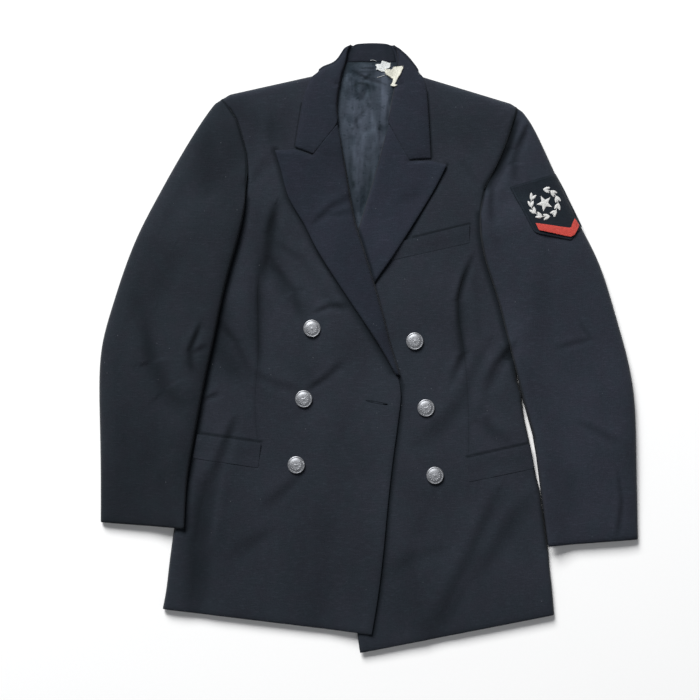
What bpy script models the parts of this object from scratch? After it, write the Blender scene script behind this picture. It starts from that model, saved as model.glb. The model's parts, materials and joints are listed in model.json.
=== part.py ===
"""A double-breasted service dress jacket, unfastened and laid flat on its back.

X runs to the viewer's right, Y to the collar and Z up. Left and right in the names are
the wearer's. Sizes are in millimetres and the objects in metres.
"""

import math

import bmesh
import bpy
import numpy as np

MM = 0.001
# The middle of the jacket's outline, which becomes the origin.
MIDDLE = (0.5, 0.5)

# Walls: wool with its lining and interfacing, and the thinner single pieces.
CLOTH = 2.6
BACKING = 3.0
LINING = 1.3
WELT = 1.5
LABEL = 1.0
SEAM = 0.3

# Heights that the upper walls keep where nothing lies under them.
FRONT_HEIGHT = 5.5
SLEEVE_LIFT = 1.8
SLEEVE_ROUND = 1.4
COLLAR_HEIGHT = 8.4
STAND_HEIGHT = 2.7
ROLL_FOOT = 5.3

FOLD_RADIUS = 5.2
SHOULDER_PAD = 4.6
SHOULDER_PAD_REACH = 46.0

BUTTON_SIZE = 22.8
BUTTON_SHANK = 6.0
BUTTON_HEIGHT = 6.0

# From the shoulder to the hem: x and y of the front edge, then of the armhole and side.
RIGHT_FRONT = (
    (-37, 372, -198, 336),
    (-44, 340, -176, 304),
    (-44.8, 295, -163, 258),
    (-35.5, 251, -163, 220),
    (-28.5, 204, -184, 183),
    (-20.5, 160, -231, 161),
    (-5.7, 120, -238, 115),
    (8, 74, -237, 64),
    (21.5, 21, -232, 10),
    (43, -50, -231, -41),
    (41, -92, -238, -97),
    (34, -144, -247, -161),
    (27, -204, -257, -223),
    (21, -269, -265, -279),
    (14, -328, -270, -322),
    (5, -383, -275, -349),
)
LEFT_FRONT = (
    (42, 372, 200, 324),
    (37, 340, 187, 281),
    (29, 295, 171, 241),
    (18.6, 254, 155, 211),
    (6, 211, 159, 182),
    (-8.4, 164, 208, 155),
    (-21.4, 115, 211, 109),
    (-30, 64, 206, 58),
    (-38.4, 15, 199, 5),
    (-46, -38, 200, -49),
    (-45, -90, 208, -90),
    (-41, -151, 220, -145),
    (-34, -218, 231, -208),
    (-26, -285, 239, -265),
    (-19, -346, 245, -312),
    (-11, -408, 249, -357),
)
# The row of the tables above at which the armhole passes under the sleeve.
UNDERARM_ROW = 3

# From the armhole to the cuff: x and y of the inner edge, then of the outer edge.
RIGHT_SLEEVE = (
    (-163, 222, -198, 336),
    (-163, 198, -224, 301),
    (-167, 168, -255, 250),
    (-175, 135, -279, 207),
    (-184, 104, -306, 156),
    (-194, 64, -325, 109),
    (-204, 14, -341, 60),
    (-215, -36, -356, 7),
    (-223, -77, -360, -44),
    (-232, -127, -359, -104),
    (-241, -180, -358, -164),
    (-244, -241, -358, -233),
)
LEFT_SLEEVE = (
    (155, 211, 200, 324),
    (148, 178, 219, 299),
    (149, 147, 237, 262),
    (155, 116, 253, 227),
    (165, 85, 276, 178),
    (175, 53, 297, 139),
    (184, 15, 315, 98),
    (195, -27, 333, 37),
    (208, -78, 348, -17),
    (220, -120, 357, -73),
    (228, -178, 359, -151),
    (239, -265, 361, -256),
)

# From the gorge to the lowest point: x and y of the roll line, then of the free edge.
RIGHT_LAPEL = (
    (-40, 297, -125, 263),
    (-34, 265, -117, 238),
    (-25, 214, -107, 200),
    (-17, 168, -86, 166),
    (-5, 131, -69, 131),
    (10, 81, -37, 81),
    (21, 44, -13, 45),
    (30, 7, 11, 9),
    (39, -22, 28, -20),
    (43, -37, 36, -36),
)
LEFT_LAPEL = (
    (26, 297, 105, 244),
    (17, 262, 89, 212),
    (6, 223, 66, 174),
    (-7, 180, 42, 136),
    (-18, 144, 26, 112),
    (-25, 115, 10, 89),
    (-33, 69, -10, 53),
    (-41.5, 18, -28, 9),
)
# The seam between lapel and collar, then the peak: share of the width, x, y.
RIGHT_GORGE = ((0.0, -40, 297), (0.42, -74, 257), (0.7, -98, 265), (1.0, -125, 263))
LEFT_GORGE = ((0.0, 26, 297), (0.42, 54, 249), (0.7, 84, 250), (1.0, 105, 244))

# Round the neck: x and y of the roll, x and y of the free edge, and how far it has turned
# under, in degrees.
COLLAR = (
    (-41, 302, -98, 268, 0),
    (-41, 326, -92, 305, 0),
    (-37, 353, -85, 341, 0),
    (-31, 380, -76, 361, 0),
    (-25, 401, -67, 368, 25),
    (-23, 404, -65.5, 370, 60),
    (-22, 404.5, -65, 370.5, 90),
    (-22, 404.5, -65, 370.5, 120),
    (-20, 405, -62, 369, 155),
    (-11, 408, -44, 353, 180),
    (6, 409, 6, 348, 180),
    (23, 408, 46, 353, 180),
    (31, 405, 60, 366, 155),
    (32.5, 404, 64.5, 369.5, 120),
    (33, 403.5, 65, 369.5, 90),
    (34, 402.5, 65.5, 369, 60),
    (36, 399, 67, 367, 25),
    (40, 380, 76, 358, 0),
    (35, 350, 80, 321, 0),
    (30, 326, 82, 286, 0),
    (27, 302, 84, 254, 0),
)
COLLAR_RADIUS = 4.6
RIGHT_COLLAR_END = ((0.0, -41, 302), (0.62, -74, 259.5), (1.0, -98, 267.5))
LEFT_COLLAR_END = ((0.0, 27, 302), (0.52, 54, 251.5), (1.0, 84, 252.5))
# Which way the collar turns under on each side of the neck.
RIGHT_NECK_TURN = (-0.62, 0.78)
LEFT_NECK_TURN = (0.72, 0.70)

# From the neck to the lowest point seen between the lapels: x and y of both sides.
BACK_LINING = (
    (-29, 382, 39, 382),
    (-43, 352, 37, 352),
    (-52, 310, 40, 310),
    (-50, 260, 32, 260),
    (-40, 210, 18, 210),
    (-28, 165, 4, 165),
    (-14, 128, -9, 128),
)
COLLAR_STAND = (
    (-20, 407, 32, 406),
    (-24, 397, 35, 396),
    (-28, 382.8, 36.5, 382.8),
)

# Pocket welts: x and y of four corners, from the upper left round to the right.
BREAST_WELT = ((34, 140), (135, 165), (135, 140), (31, 117))
RIGHT_HIP_WELT = ((-228, -115), (-143, -127), (-147, -160), (-234, -147))
LEFT_HIP_WELT = ((131, -147), (216, -128), (221, -161), (134, -179))

# Folds that cross several pieces: x, y, x, y, half width, height.
FOLDS = (
    (-179, 19, -152, -41, 15, 1.0),
    (-132, 131, -92, 30, 18, 1.0),
    (-205, -150, -222, -340, 20, 1.4),
    (-170, -170, -180, -340, 22, -0.4),
    (-100, -190, -110, -330, 30, 0.8),
    (151, -1, 120, -69, 16, 1.2),
    (120, -69, 72, -124, 16, 1.0),
    (188, -3, 168, -36, 14, 1.4),
    (135, -69, 188, -127, 16, 0.8),
    (171, -192, 137, -270, 16, 1.3),
    (137, -270, 86, -375, 18, 1.3),
    (214, -204, 131, -317, 16, 1.1),
    (60, -200, 40, -340, 26, 0.7),
    (-298, 26, -243, -85, 16, -0.4),
    (-320, 60, -270, -90, 18, 1.1),
    (-241, 11, -238, -33, 12, 1.1),
    (-320, -120, -300, -220, 22, 0.9),
    (196, 308, 160, 222, 14, 1.0),
    (225, 270, 205, 215, 14, 1.2),
    (260, 110, 300, 30, 18, 1.0),
    (290, -60, 300, -180, 22, 0.9),
    (331, -170, 340, -250, 14, 0.9),
)
LOWEST_FOLD = -0.5
HIGHEST_FOLD = 1.5
# The slight unevenness of cloth that lies by itself.
RIPPLE = 0.12
RIPPLE_LENGTH = 34.0

# Buttons: name, x, y.
BUTTONS = (
    ("button_right_top", -75, 26),
    ("button_right_middle", -86, -68),
    ("button_right_bottom", -96, -156),
    ("button_left_top", 62, 9),
    ("button_left_middle", 77, -80),
    ("button_left_bottom", 89, -170),
)

# Sleeve badge, from its point up: x and y of the inner edge, then of the outer edge.
BADGE = (
    (220, 153, 285.5, 162),
    (212, 168, 277.5, 179),
    (204, 184, 269, 196),
    (196, 199, 261, 213),
    (188, 214, 250.5, 232),
)
# The lower edge of the badge: share of the width, x, y.
BADGE_POINT = ((0.0, 220, 153), (0.75, 269, 143.5), (1.0, 285.5, 162))
BADGE_WALL = 1.0
# The chevron, along its length: x and y of the lower edge, then of the upper edge.
CHEVRON = (
    (225.5, 157, 221, 166.5),
    (247, 153, 244, 163.5),
    (268.5, 148.5, 267, 160.5),
    (276, 155.5, 269.5, 164),
    (280.5, 164, 272.5, 170),
)
# A star between two sprigs stands on the badge, turned with the sleeve.
EMBLEM_PLACE = (234.0, 192.0)
EMBLEM_TURN = 27.0
STAR_RADIUS = 9.5
STAR_WAIST = 4.2
SPRIG = ((4, -16), (12, -12), (18, -3), (17.5, 7), (12, 16), (12.5, 6), (12, -2), (8, -9))

# Colours as linear red, green and blue, then roughness and metallic.
WOOL = (0.023, 0.027, 0.034, 0.92, 0.0)
FACING = (0.028, 0.032, 0.045, 0.9, 0.0)
SATIN = (0.061, 0.074, 0.098, 0.45, 0.0)
SILVER = (0.52, 0.54, 0.56, 0.3, 1.0)
BADGE_CLOTH = (0.020, 0.023, 0.028, 0.95, 0.0)
RED_THREAD = (0.50, 0.055, 0.045, 0.8, 0.0)
WHITE_THREAD = (0.58, 0.58, 0.55, 0.8, 0.0)
WHITE_TAPE = (0.62, 0.62, 0.60, 0.85, 0.0)
CREAM_TAPE = (0.52, 0.47, 0.36, 0.85, 0.0)


class Pile:
    """The height of what has been laid down so far, in small square cells."""

    cell = 3.0
    corner = (-399.0, -450.0)
    shape = (267, 300)

    def __init__(self, height=None):
        self.height = np.zeros(self.shape) if height is None else height.copy()

    def cells(self, x, y):
        column = (np.asarray(x, float) - self.corner[0]) / self.cell
        row = (np.asarray(y, float) - self.corner[1]) / self.cell
        return column, row

    def add(self, points):
        column, row = self.cells(points[..., 0], points[..., 1])
        column = np.rint(column).astype(int).ravel()
        row = np.rint(row).astype(int).ravel()
        np.maximum.at(self.height, (column, row), points[..., 2].ravel())

    def only_below(self, limit):
        """Only what lies lower on the jacket than a given y."""
        kept = Pile(self.height)
        row = int((limit - self.corner[1]) / self.cell)
        kept.height[:, row:] = np.minimum(kept.height[:, row:], BACKING)
        return kept

    def rest(self, x, y, reach, soften=0.0):
        """The greatest height within reach of each point, made smooth."""
        steps = int(math.ceil((reach + soften) / self.cell))
        top = spread(self.height, steps, np.maximum)
        if soften > 0:
            blur = max(1, int(soften / self.cell))
            top = averaged(averaged(top, blur), 1)
        column, row = self.cells(x, y)
        i = np.clip(np.floor(column).astype(int), 0, self.shape[0] - 2)
        j = np.clip(np.floor(row).astype(int), 0, self.shape[1] - 2)
        a = column - i
        b = row - j
        low = top[i, j] * (1 - a) + top[i + 1, j] * a
        high = top[i, j + 1] * (1 - a) + top[i + 1, j + 1] * a
        return low * (1 - b) + high * b


def spread(values, steps, pick):
    """Each cell takes the extreme value of the disc of cells round it."""
    wide = np.pad(values, steps, mode="edge")
    result = values.copy()
    for i in range(-steps, steps + 1):
        half = int(math.sqrt(steps * steps - i * i))
        for j in range(-half, half + 1):
            part = wide[
                steps + i : steps + i + values.shape[0],
                steps + j : steps + j + values.shape[1],
            ]
            result = pick(result, part)
    return result


def averaged(values, steps):
    """Each cell takes the mean of the square of cells round it."""
    for axis in (0, 1):
        wide = np.pad(values, [(steps, steps) if a == axis else (0, 0) for a in (0, 1)], mode="edge")
        total = np.zeros_like(values)
        for i in range(2 * steps + 1):
            total += np.take(wide, np.arange(i, i + values.shape[axis]), axis=axis)
        values = total / (2 * steps + 1)
    return values


def smooth_step(value):
    value = np.clip(value, 0.0, 1.0)
    return value * value * (3 - 2 * value)


def curve_through(table, rows):
    """A smooth curve through the points of a table, at fractional row numbers."""
    points = np.array(table, float)
    first = 2 * points[0] - points[1]
    last = 2 * points[-1] - points[-2]
    ends = np.vstack([first, points, last])
    rows = np.asarray(rows, float)
    k = np.clip(np.floor(rows).astype(int), 0, len(points) - 2)
    f = (rows - k)[..., None]
    a, b, c, d = ends[k], ends[k + 1], ends[k + 2], ends[k + 3]
    cubic = -a + 3 * b - 3 * c + d
    square = 2 * a - 5 * b + 4 * c - d
    return 0.5 * (2 * b + (c - a) * f + square * f * f + cubic * f**3)


def along_line(x, y, x1, y1, x2, y2):
    """How far along a line each point is, from 0 to 1 within it, and how far from it."""
    dx, dy = x2 - x1, y2 - y1
    length = math.hypot(dx, dy)
    share = ((x - x1) * dx + (y - y1) * dy) / length**2
    nearest = np.clip(share, 0, 1)
    away = np.hypot(x - x1 - nearest * dx, y - y1 - nearest * dy)
    return share, away


def fold_height(x, y):
    """The soft folds of the cloth, which every layer at a place shares."""
    total = np.zeros_like(x)
    for x1, y1, x2, y2, half_width, height in FOLDS:
        away = along_line(x, y, x1, y1, x2, y2)[1]
        total += height * np.exp(-((away / half_width) ** 2))
    total = np.clip(total, LOWEST_FOLD, HIGHEST_FOLD)
    return total + RIPPLE * np.sin(x / RIPPLE_LENGTH) * np.cos(y / RIPPLE_LENGTH + x / 90)


def pad_height(x, y):
    """The shoulder pads and sleeve heads, thickest at the shoulder's end."""
    total = np.zeros_like(x)
    for side, y1, y2 in ((-1, 318, 326), (1, 306, 314)):
        away = along_line(x, y, side * 130, y2, side * 196, y1)[1]
        total += SHOULDER_PAD * np.exp(-((away / SHOULDER_PAD_REACH) ** 2))
    return total


def fold_stations(turned):
    """Angles across an edge: a turned edge goes down in a quarter circle."""
    if turned:
        return [math.radians(a) for a in (90, 60, 30, 0)]
    return [None]


class Across:
    """Where the columns of a piece lie, from its first side to its second."""

    def __init__(self, count, first_turned, second_turned, shares=None):
        inner = shares or [(i + 1) / (count + 1) for i in range(count)]
        first = [("first", a) for a in fold_stations(first_turned)]
        second = [("second", a) for a in reversed(fold_stations(second_turned))]
        self.columns = first + [("between", s) for s in inner] + second

    def place(self, width, wall, radius):
        """Shares of the width for the outside and the inside, and how far it turns."""
        outside, inside, turn = [], [], []
        radius = np.minimum(radius, 0.4 * width)
        wall = np.minimum(wall, 0.55 * radius)
        for side, value in self.columns:
            if side == "between":
                edge = np.where(self.has_turned("first"), radius, 0) / width
                far = 1 - np.where(self.has_turned("second"), radius, 0) / width
                at = edge + (far - edge) * value
                outside.append(at)
                inside.append(at)
                turn.append(np.ones_like(width))
                continue
            if value is None:
                out = np.zeros_like(width)
                within = out
                turned = np.ones_like(width)
            else:
                out = radius * (1 - math.sin(value)) / width
                within = (wall + (radius - wall) * (1 - math.sin(value))) / width
                turned = np.full_like(width, math.cos(value))
            if side == "second":
                out = 1 - out
                within = 1 - within
            outside.append(out)
            inside.append(within)
            turn.append(turned)
        return np.array(outside).T, np.array(inside).T, np.array(turn).T

    def has_turned(self, side):
        return sum(1 for s, v in self.columns if s == side) > 1

    def free_edges(self):
        """Columns that are a free edge, where the wall is a little thinner."""
        count = len(self.columns)
        return [i for i in (0, count - 1) if self.columns[i][1] is None]


def material(name, colour):
    made = bpy.data.materials.get(name)
    if made:
        return made
    made = bpy.data.materials.new(name)
    made.use_nodes = True
    shader = made.node_tree.nodes["Principled BSDF"]
    shader.inputs["Base Color"].default_value = (*colour[:3], 1.0)
    shader.inputs["Roughness"].default_value = colour[3]
    shader.inputs["Metallic"].default_value = colour[4]
    made.diffuse_color = (*colour[:3], 1.0)
    return made


def add_object(name, work, look, colour, smooth=True):
    """Turns a bmesh into a named object of the jacket."""
    bmesh.ops.recalc_face_normals(work, faces=work.faces)
    bmesh.ops.translate(work, verts=work.verts, vec=(-MIDDLE[0] * MM, -MIDDLE[1] * MM, 0))
    for face in work.faces:
        face.smooth = smooth
    mesh = bpy.data.meshes.new(name)
    work.to_mesh(mesh)
    work.free()
    made = bpy.data.objects.new(name, mesh)
    mesh.materials.append(material(look, colour))
    bpy.data.collections["service_dress_jacket"].objects.link(made)
    return made


def closed_sheet(name, outside, inside, look, colour):
    """Joins two grids of points, in millimetres, round their four edges."""
    rows, columns = outside.shape[:2]
    work = bmesh.new()
    upper = [[work.verts.new(outside[i, j] * MM) for j in range(columns)] for i in range(rows)]
    lower = [[work.verts.new(inside[i, j] * MM) for j in range(columns)] for i in range(rows)]
    for grid, flip in ((upper, False), (lower, True)):
        for i in range(rows - 1):
            for j in range(columns - 1):
                ring = [grid[i][j], grid[i + 1][j], grid[i + 1][j + 1], grid[i][j + 1]]
                work.faces.new(ring[::-1] if flip else ring)
    border = [(0, j) for j in range(columns)]
    border += [(i, columns - 1) for i in range(1, rows)]
    border += [(rows - 1, j) for j in range(columns - 2, -1, -1)]
    border += [(i, 0) for i in range(rows - 2, 0, -1)]
    for (i, j), (k, m) in zip(border, border[1:] + border[:1]):
        work.faces.new([upper[i][j], upper[k][m], lower[k][m], lower[i][j]])
    return add_object(name, work, look, colour)


def refined(points, times=6):
    """A grid of points with more of them between, on the same flat pieces."""
    for axis in (0, 1):
        count = points.shape[axis]
        at = np.linspace(0, count - 1, (count - 1) * times + 1)
        k = np.minimum(at.astype(int), count - 2)
        f = at - k
        shape = [1, 1, 1]
        shape[axis] = len(at)
        f = f.reshape(shape)
        points = np.take(points, k, axis=axis) * (1 - f) + np.take(points, k + 1, axis=axis) * f
    return points


def row_numbers(last, step, turned_start, wall, first_length):
    """Row numbers of a piece for its outside and inside, and how far each turns down."""
    numbers = list(np.arange(step, last + step / 2, step))
    numbers = [min(n, last) for n in numbers]
    if not turned_start:
        return np.array([0.0] + numbers), np.array([0.0] + numbers), np.ones(len(numbers) + 1)
    outside, inside, turn = [], [], []
    for angle in fold_stations(True):
        outside.append(FOLD_RADIUS * (1 - math.sin(angle)) / first_length)
        within = wall + (FOLD_RADIUS - wall) * (1 - math.sin(angle))
        inside.append(within / first_length)
        turn.append(math.cos(angle))
    outside += numbers
    inside += numbers
    turn += [1.0] * len(numbers)
    return np.array(outside), np.array(inside), np.array(turn)


def plan_grid(table, numbers, shares, top=None, fade=1.0, edge=0.0):
    """x and y over a piece whose two sides run down a table."""
    rows = np.array(table, float)
    first = curve_through(rows[:, 0:2], numbers)
    second = curve_through(rows[:, 2:4], numbers)
    s = shares[..., None]
    grid = first[:, None, :] * (1 - s) + second[:, None, :] * s
    if top is not None:
        top = np.array(top, float)
        top[:, 0] = edge + (1 - edge) * top[:, 0]
        x = np.interp(shares, top[:, 0], top[:, 1])
        y = np.interp(shares, top[:, 0], top[:, 2])
        start, end = rows[0, 0:2], rows[0, 2:4]
        x -= start[0] + (end[0] - start[0]) * shares
        y -= start[1] + (end[1] - start[1]) * shares
        left = (1 - smooth_step(np.asarray(numbers) / fade))[:, None]
        grid = grid + np.stack([x * left, y * left], axis=-1)
    return grid


def widths(table, numbers):
    rows = np.array(table, float)
    first = curve_through(rows[:, 0:2], numbers)
    second = curve_through(rows[:, 2:4], numbers)
    return np.hypot(*(second - first).T)


def top_sheet(
    name,
    table,
    across,
    pile,
    look=("wool", WOOL),
    step=0.5,
    wall=CLOTH,
    floor=0.0,
    lift=0.0,
    foot=None,
    turned_start=False,
    first_length=36.0,
    turn_from=(0.0, 0.0),
    reach=17.0,
    soften=6.0,
    top=None,
    fade=1.0,
    folds=1.0,
    dome=0.0,
    pad=0.0,
    radius=FOLD_RADIUS,
    gap=SEAM,
):
    """A piece of cloth laid on the pile, with its turned edges brought down to their foot.

    turn_from gives, for each side, the row at which that side begins to turn down.
    """
    last = len(table) - 1
    out_rows, in_rows, row_turn = row_numbers(last, step, turned_start, wall, first_length)
    surfaces = []
    for numbers, is_outside in ((out_rows, True), (in_rows, False)):
        width = widths(table, numbers)
        out_share, in_share, turn = across.place(width, wall, radius)
        share = out_share if is_outside else in_share
        edge = radius / width[0] if top is not None and len(top) == 4 else 0.0
        plan = plan_grid(table, numbers, share, top, fade, edge)
        x, y = plan[..., 0], plan[..., 1]
        middle = share.shape[1] // 2
        for columns, start in ((slice(0, middle), turn_from[0]), (slice(middle, None), turn_from[1])):
            if start > 0:
                ready = smooth_step((numbers - start + 0.5) / 0.5)[:, None]
                turn[:, columns] = 1 - (1 - turn[:, columns]) * ready
        turn = turn * row_turn[:, None]
        base = np.maximum(pile.rest(x, y, reach, soften) + gap + lift, floor)
        base = base + folds * fold_height(x, y)
        base = base + dome * np.sin(math.pi * share) ** 0.8
        ground = np.maximum((foot or pile).rest(x, y, 6.0), BACKING) + gap
        height = base
        if is_outside:
            thick = np.full_like(base, wall)
            thick[:, across.free_edges()] *= 0.72
            height = base + thick + pad * pad_height(x, y)
        z = ground + np.maximum(height - ground, 0.4) * turn
        surfaces.append(np.stack([x, y, z], axis=-1))
    outside, inside = surfaces
    made = closed_sheet(name, outside, inside, *look)
    return made, outside


def moved_line(points, distance):
    """A line of points moved to its left by a distance."""
    points = np.array(points, float)
    ahead = np.vstack([points[1:], points[-1:]])
    behind = np.vstack([points[:1], points[:-1]])
    way = ahead - behind
    way /= np.hypot(way[:, 0], way[:, 1])[:, None]
    return points + distance * np.stack([-way[:, 1], way[:, 0]], axis=-1)


def plate(name, outline, low, high, look, colour):
    """A flat piece with a given outline."""
    work = bmesh.new()
    bottom = [work.verts.new((x * MM, y * MM, low * MM)) for x, y in outline]
    face = work.faces.new(bottom)
    made = bmesh.ops.extrude_face_region(work, geom=[face])
    moved = [v for v in made["geom"] if isinstance(v, bmesh.types.BMVert)]
    bmesh.ops.translate(work, verts=moved, vec=(0, 0, (high - low) * MM))
    bmesh.ops.triangulate(work, faces=[f for f in work.faces if len(f.verts) > 4])
    return add_object(name, work, look, colour, smooth=False)


def side_line(table, first_row, last_row, per_row=2):
    count = int((last_row - first_row) * per_row) + 1
    numbers = np.linspace(first_row, last_row, count)
    return curve_through(np.array(table, float)[:, 2:4], numbers)


def fill(pile, outline, height):
    """Raises the cells inside an outline to at least a height."""
    columns = Pile.corner[0] + Pile.cell * np.arange(Pile.shape[0])
    rows = Pile.corner[1] + Pile.cell * np.arange(Pile.shape[1])
    x, y = np.meshgrid(columns, rows, indexing="ij")
    inside = np.zeros(x.shape, bool)
    outline = np.array(outline, float)
    for (x1, y1), (x2, y2) in zip(outline, np.roll(outline, -1, axis=0)):
        if y1 == y2:
            continue
        crosses = (y1 > y) != (y2 > y)
        inside ^= crosses & (x < (x2 - x1) * (y - y1) / (y2 - y1) + x1)
    pile.height[inside] = np.maximum(pile.height[inside], height)


def make_back(pile):
    """The back and its neck, which the collar's fall meets edge to edge."""
    right_side = moved_line(side_line(RIGHT_FRONT, 0, 15), 0.8)
    left_side = moved_line(side_line(LEFT_FRONT, 0, 15), -0.8)
    # The hem of the back stays just inside the hems of the fronts.
    right_side[-1] = (-273.0, -345.5)
    left_side[-1] = (247.0, -353.5)
    neck = [(66.5, 364.0), (55, 355.5), (46, 352.0), (26, 348.7), (6, 347.0)]
    neck += [(-19, 349.5), (-44, 352.0), (-54, 360.0), (-66.5, 364.5)]
    hem = [(-180, -360.5), (-60, -371.0), (60, -376.0), (160, -366.0)]
    shoulder = [(199.5, 323.0)]
    outline = list(right_side) + hem + list(left_side[::-1][:-1]) + shoulder + neck
    plate("back", outline, 0.0, BACKING, "wool", WOOL)
    fill(pile, outline, BACKING)
    fill(pile, [(-70, 340), (-70, 370), (-30, 408), (40, 408), (70, 370), (70, 340)], BACKING)


def make_under_sleeve(name, sleeve, front, side, pile):
    """The under sleeve, which ends where the side of the body begins."""
    seam = side_line(front, 0, UNDERARM_ROW)
    body = moved_line(side_line(front, UNDERARM_ROW, 12), side * 1.0)
    sleeve = np.array(sleeve, float)
    outer = curve_through(sleeve[:, 2:4], np.linspace(0, 11, 23))
    inner = curve_through(sleeve[:, 0:2], np.linspace(0, 11, 23))
    cuff_inner = sleeve[-1, 0:2] + (side * 1.0, 0.8)
    cuff_outer = sleeve[-1, 2:4] + (-side * 1.0, 0.8)
    body = body[body[:, 1] > cuff_inner[1] + 8]
    limit = np.interp(-body[:, 1], -inner[::1, 1], inner[::1, 0]) + side * 1.0
    low = body[:, 1] < 60
    further = limit > body[:, 0] if side > 0 else limit < body[:, 0]
    body[low & further, 0] = limit[low & further]
    end_x = body[-1, 0] + side * 3
    last = (max(end_x, cuff_inner[0]) if side > 0 else min(end_x, cuff_inner[0]), cuff_inner[1])
    armhole = moved_line(seam, side * 0.8)
    edge = moved_line(outer, -side * 0.8 if side < 0 else -0.8)
    edge = edge[(edge[:, 1] < 322) & (edge[:, 1] > cuff_outer[1] + 8)]
    outline = list(armhole[1:]) + list(body[1:]) + [last, cuff_outer] + list(edge[::-1])
    plate(name, outline, 0.0, BACKING, "wool", WOOL)
    fill(pile, outline, BACKING)


def make_welt(name, corners, pile, colour, look):
    """A pocket welt, stitched down on the front it lies on."""
    a, b, c, d = corners
    steps = 4
    table = []
    for i in range(steps + 1):
        s = i / steps
        upper = [p + (q - p) * s for p, q in zip(a, b)]
        lower = [p + (q - p) * s for p, q in zip(d, c)]
        table.append((*upper, *lower))
    across = Across(1, False, False)
    made, outside = top_sheet(
        name, table, across, pile, (look, colour), step=1.0, wall=WELT, reach=9.0, soften=0.0, folds=0.0
    )
    pile.add(refined(outside))


def make_collar(fronts):
    """The fall of the collar: over both fronts and turned under behind the neck."""
    table = np.array(COLLAR, float)
    last = len(table) - 1
    numbers = np.array(sorted(set(np.arange(0, 3.1, 0.5)) | set(range(4, 17)) | set(np.arange(17, 20.1, 0.5))))
    turned = np.interp(numbers, np.arange(last + 1), table[:, 4])
    roll = curve_through(table[:, 0:2], numbers)
    edge = curve_through(table[:, 2:4], numbers)
    width = np.hypot(*(edge - roll).T)
    across = Across(0, True, False, shares=[0.27, 0.52, 0.62, 0.8])
    way = np.where(numbers[:, None] < 10, np.array([RIGHT_NECK_TURN]), np.array([LEFT_NECK_TURN]))
    phi = np.radians(turned)
    out_share, in_share, turn = across.place(width, CLOTH, 4.4)
    roll_open = np.clip(1 - turned / 60, 0, 1)[:, None]
    turn = 1 - (1 - turn) * roll_open
    surfaces = []
    for share, is_outside in ((out_share, True), (in_share, False)):
        s = share[..., None]
        plan = roll[:, None, :] * (1 - s) + edge[:, None, :] * s
        ends = ((RIGHT_COLLAR_END, 0, numbers), (LEFT_COLLAR_END, -1, last - numbers))
        for end, start, way_in in ends:
            seam = np.array(end, float)
            edge_share = 4.4 / width[start]
            seam[:, 0] = edge_share + (1 - edge_share) * seam[:, 0]
            x = np.interp(share, seam[:, 0], seam[:, 1])
            y = np.interp(share, seam[:, 0], seam[:, 2])
            x -= table[start, 0] * (1 - share) + table[start, 2] * share
            y -= table[start, 1] * (1 - share) + table[start, 3] * share
            left = (1 - smooth_step(way_in / 1.5))[:, None]
            plan = plan + np.stack([x * left, y * left], axis=-1)
        offset = COLLAR_RADIUS if is_outside else COLLAR_RADIUS - CLOTH
        plan = plan + (way * offset * np.sin(phi)[:, None])[:, None, :]
        x, y = plan[..., 0], plan[..., 1]
        over = np.maximum(fronts.rest(x, y, 12.0, 6.0) + SEAM, COLLAR_HEIGHT)
        under = 0.0 if is_outside else BACKING - 0.6
        if is_outside:
            over = over + CLOTH
            over[:, -1] -= 0.7
        over = ROLL_FOOT + (over - ROLL_FOOT) * turn
        z = under + (over - under) * ((1 + np.cos(phi)) / 2)[:, None]
        surfaces.append(np.stack([x, y, z], axis=-1))
    return closed_sheet("collar", surfaces[0], surfaces[1], "facing", FACING)


def make_button(name, x, y, pile):
    """A domed button with a raised rim, on its shank."""
    radius = BUTTON_SIZE / 2
    shank = BUTTON_SHANK / 2
    profile = (
        (0.0, 0.0),
        (shank, 0.0),
        (shank, 2.0),
        (0.88 * radius, 2.0),
        (radius, 2.7),
        (0.99 * radius, 3.6),
        (0.91 * radius, 4.1),
        (0.83 * radius, 3.8),
        (0.55 * radius, 5.2),
        (0.25 * radius, BUTTON_HEIGHT - 0.15),
        (0.0, BUTTON_HEIGHT),
    )
    close = float(pile.rest(np.array(x), np.array(y), 3.0)) + SEAM
    wide = float(pile.rest(np.array(x), np.array(y), radius + 1)) - 1.8
    seat = max(close, wide)
    work = bmesh.new()
    points = [work.verts.new((r * MM, 0, z * MM)) for r, z in profile]
    edges = [work.edges.new(pair) for pair in zip(points, points[1:])]
    turn = dict(cent=(0, 0, 0), axis=(0, 0, 1), angle=2 * math.pi, steps=18)
    bmesh.ops.spin(work, geom=points + edges, **turn)
    bmesh.ops.remove_doubles(work, verts=work.verts, dist=0.00002)
    bmesh.ops.translate(work, verts=work.verts, vec=(x * MM, y * MM, seat * MM))
    add_object(name, work, "silver", SILVER)


def surface_plate(name, outline, pile, wall, look, colour, reach=3.0, gap=0.4):
    """A small flat piece whose corners each rest on the cloth beneath."""
    outline = np.array(outline, float)
    height = pile.rest(outline[:, 0], outline[:, 1], reach) + gap
    work = bmesh.new()
    low = [work.verts.new((x * MM, y * MM, z * MM)) for (x, y), z in zip(outline, height)]
    high = [work.verts.new((x * MM, y * MM, (z + wall) * MM)) for (x, y), z in zip(outline, height)]
    ends = [work.faces.new(low[::-1]), work.faces.new(high)]
    for i in range(len(outline)):
        k = (i + 1) % len(outline)
        work.faces.new([low[i], low[k], high[k], high[i]])
    bmesh.ops.triangulate(work, faces=ends)
    return add_object(name, work, look, colour, smooth=False)


def on_badge(outline):
    """Moves an outline, drawn upright round a middle, to its place on the badge."""
    turn = math.radians(EMBLEM_TURN)
    placed = []
    for x, y in outline:
        across = x * math.cos(turn) - y * math.sin(turn)
        up = x * math.sin(turn) + y * math.cos(turn)
        placed.append((EMBLEM_PLACE[0] + across, EMBLEM_PLACE[1] + up))
    return placed


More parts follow.
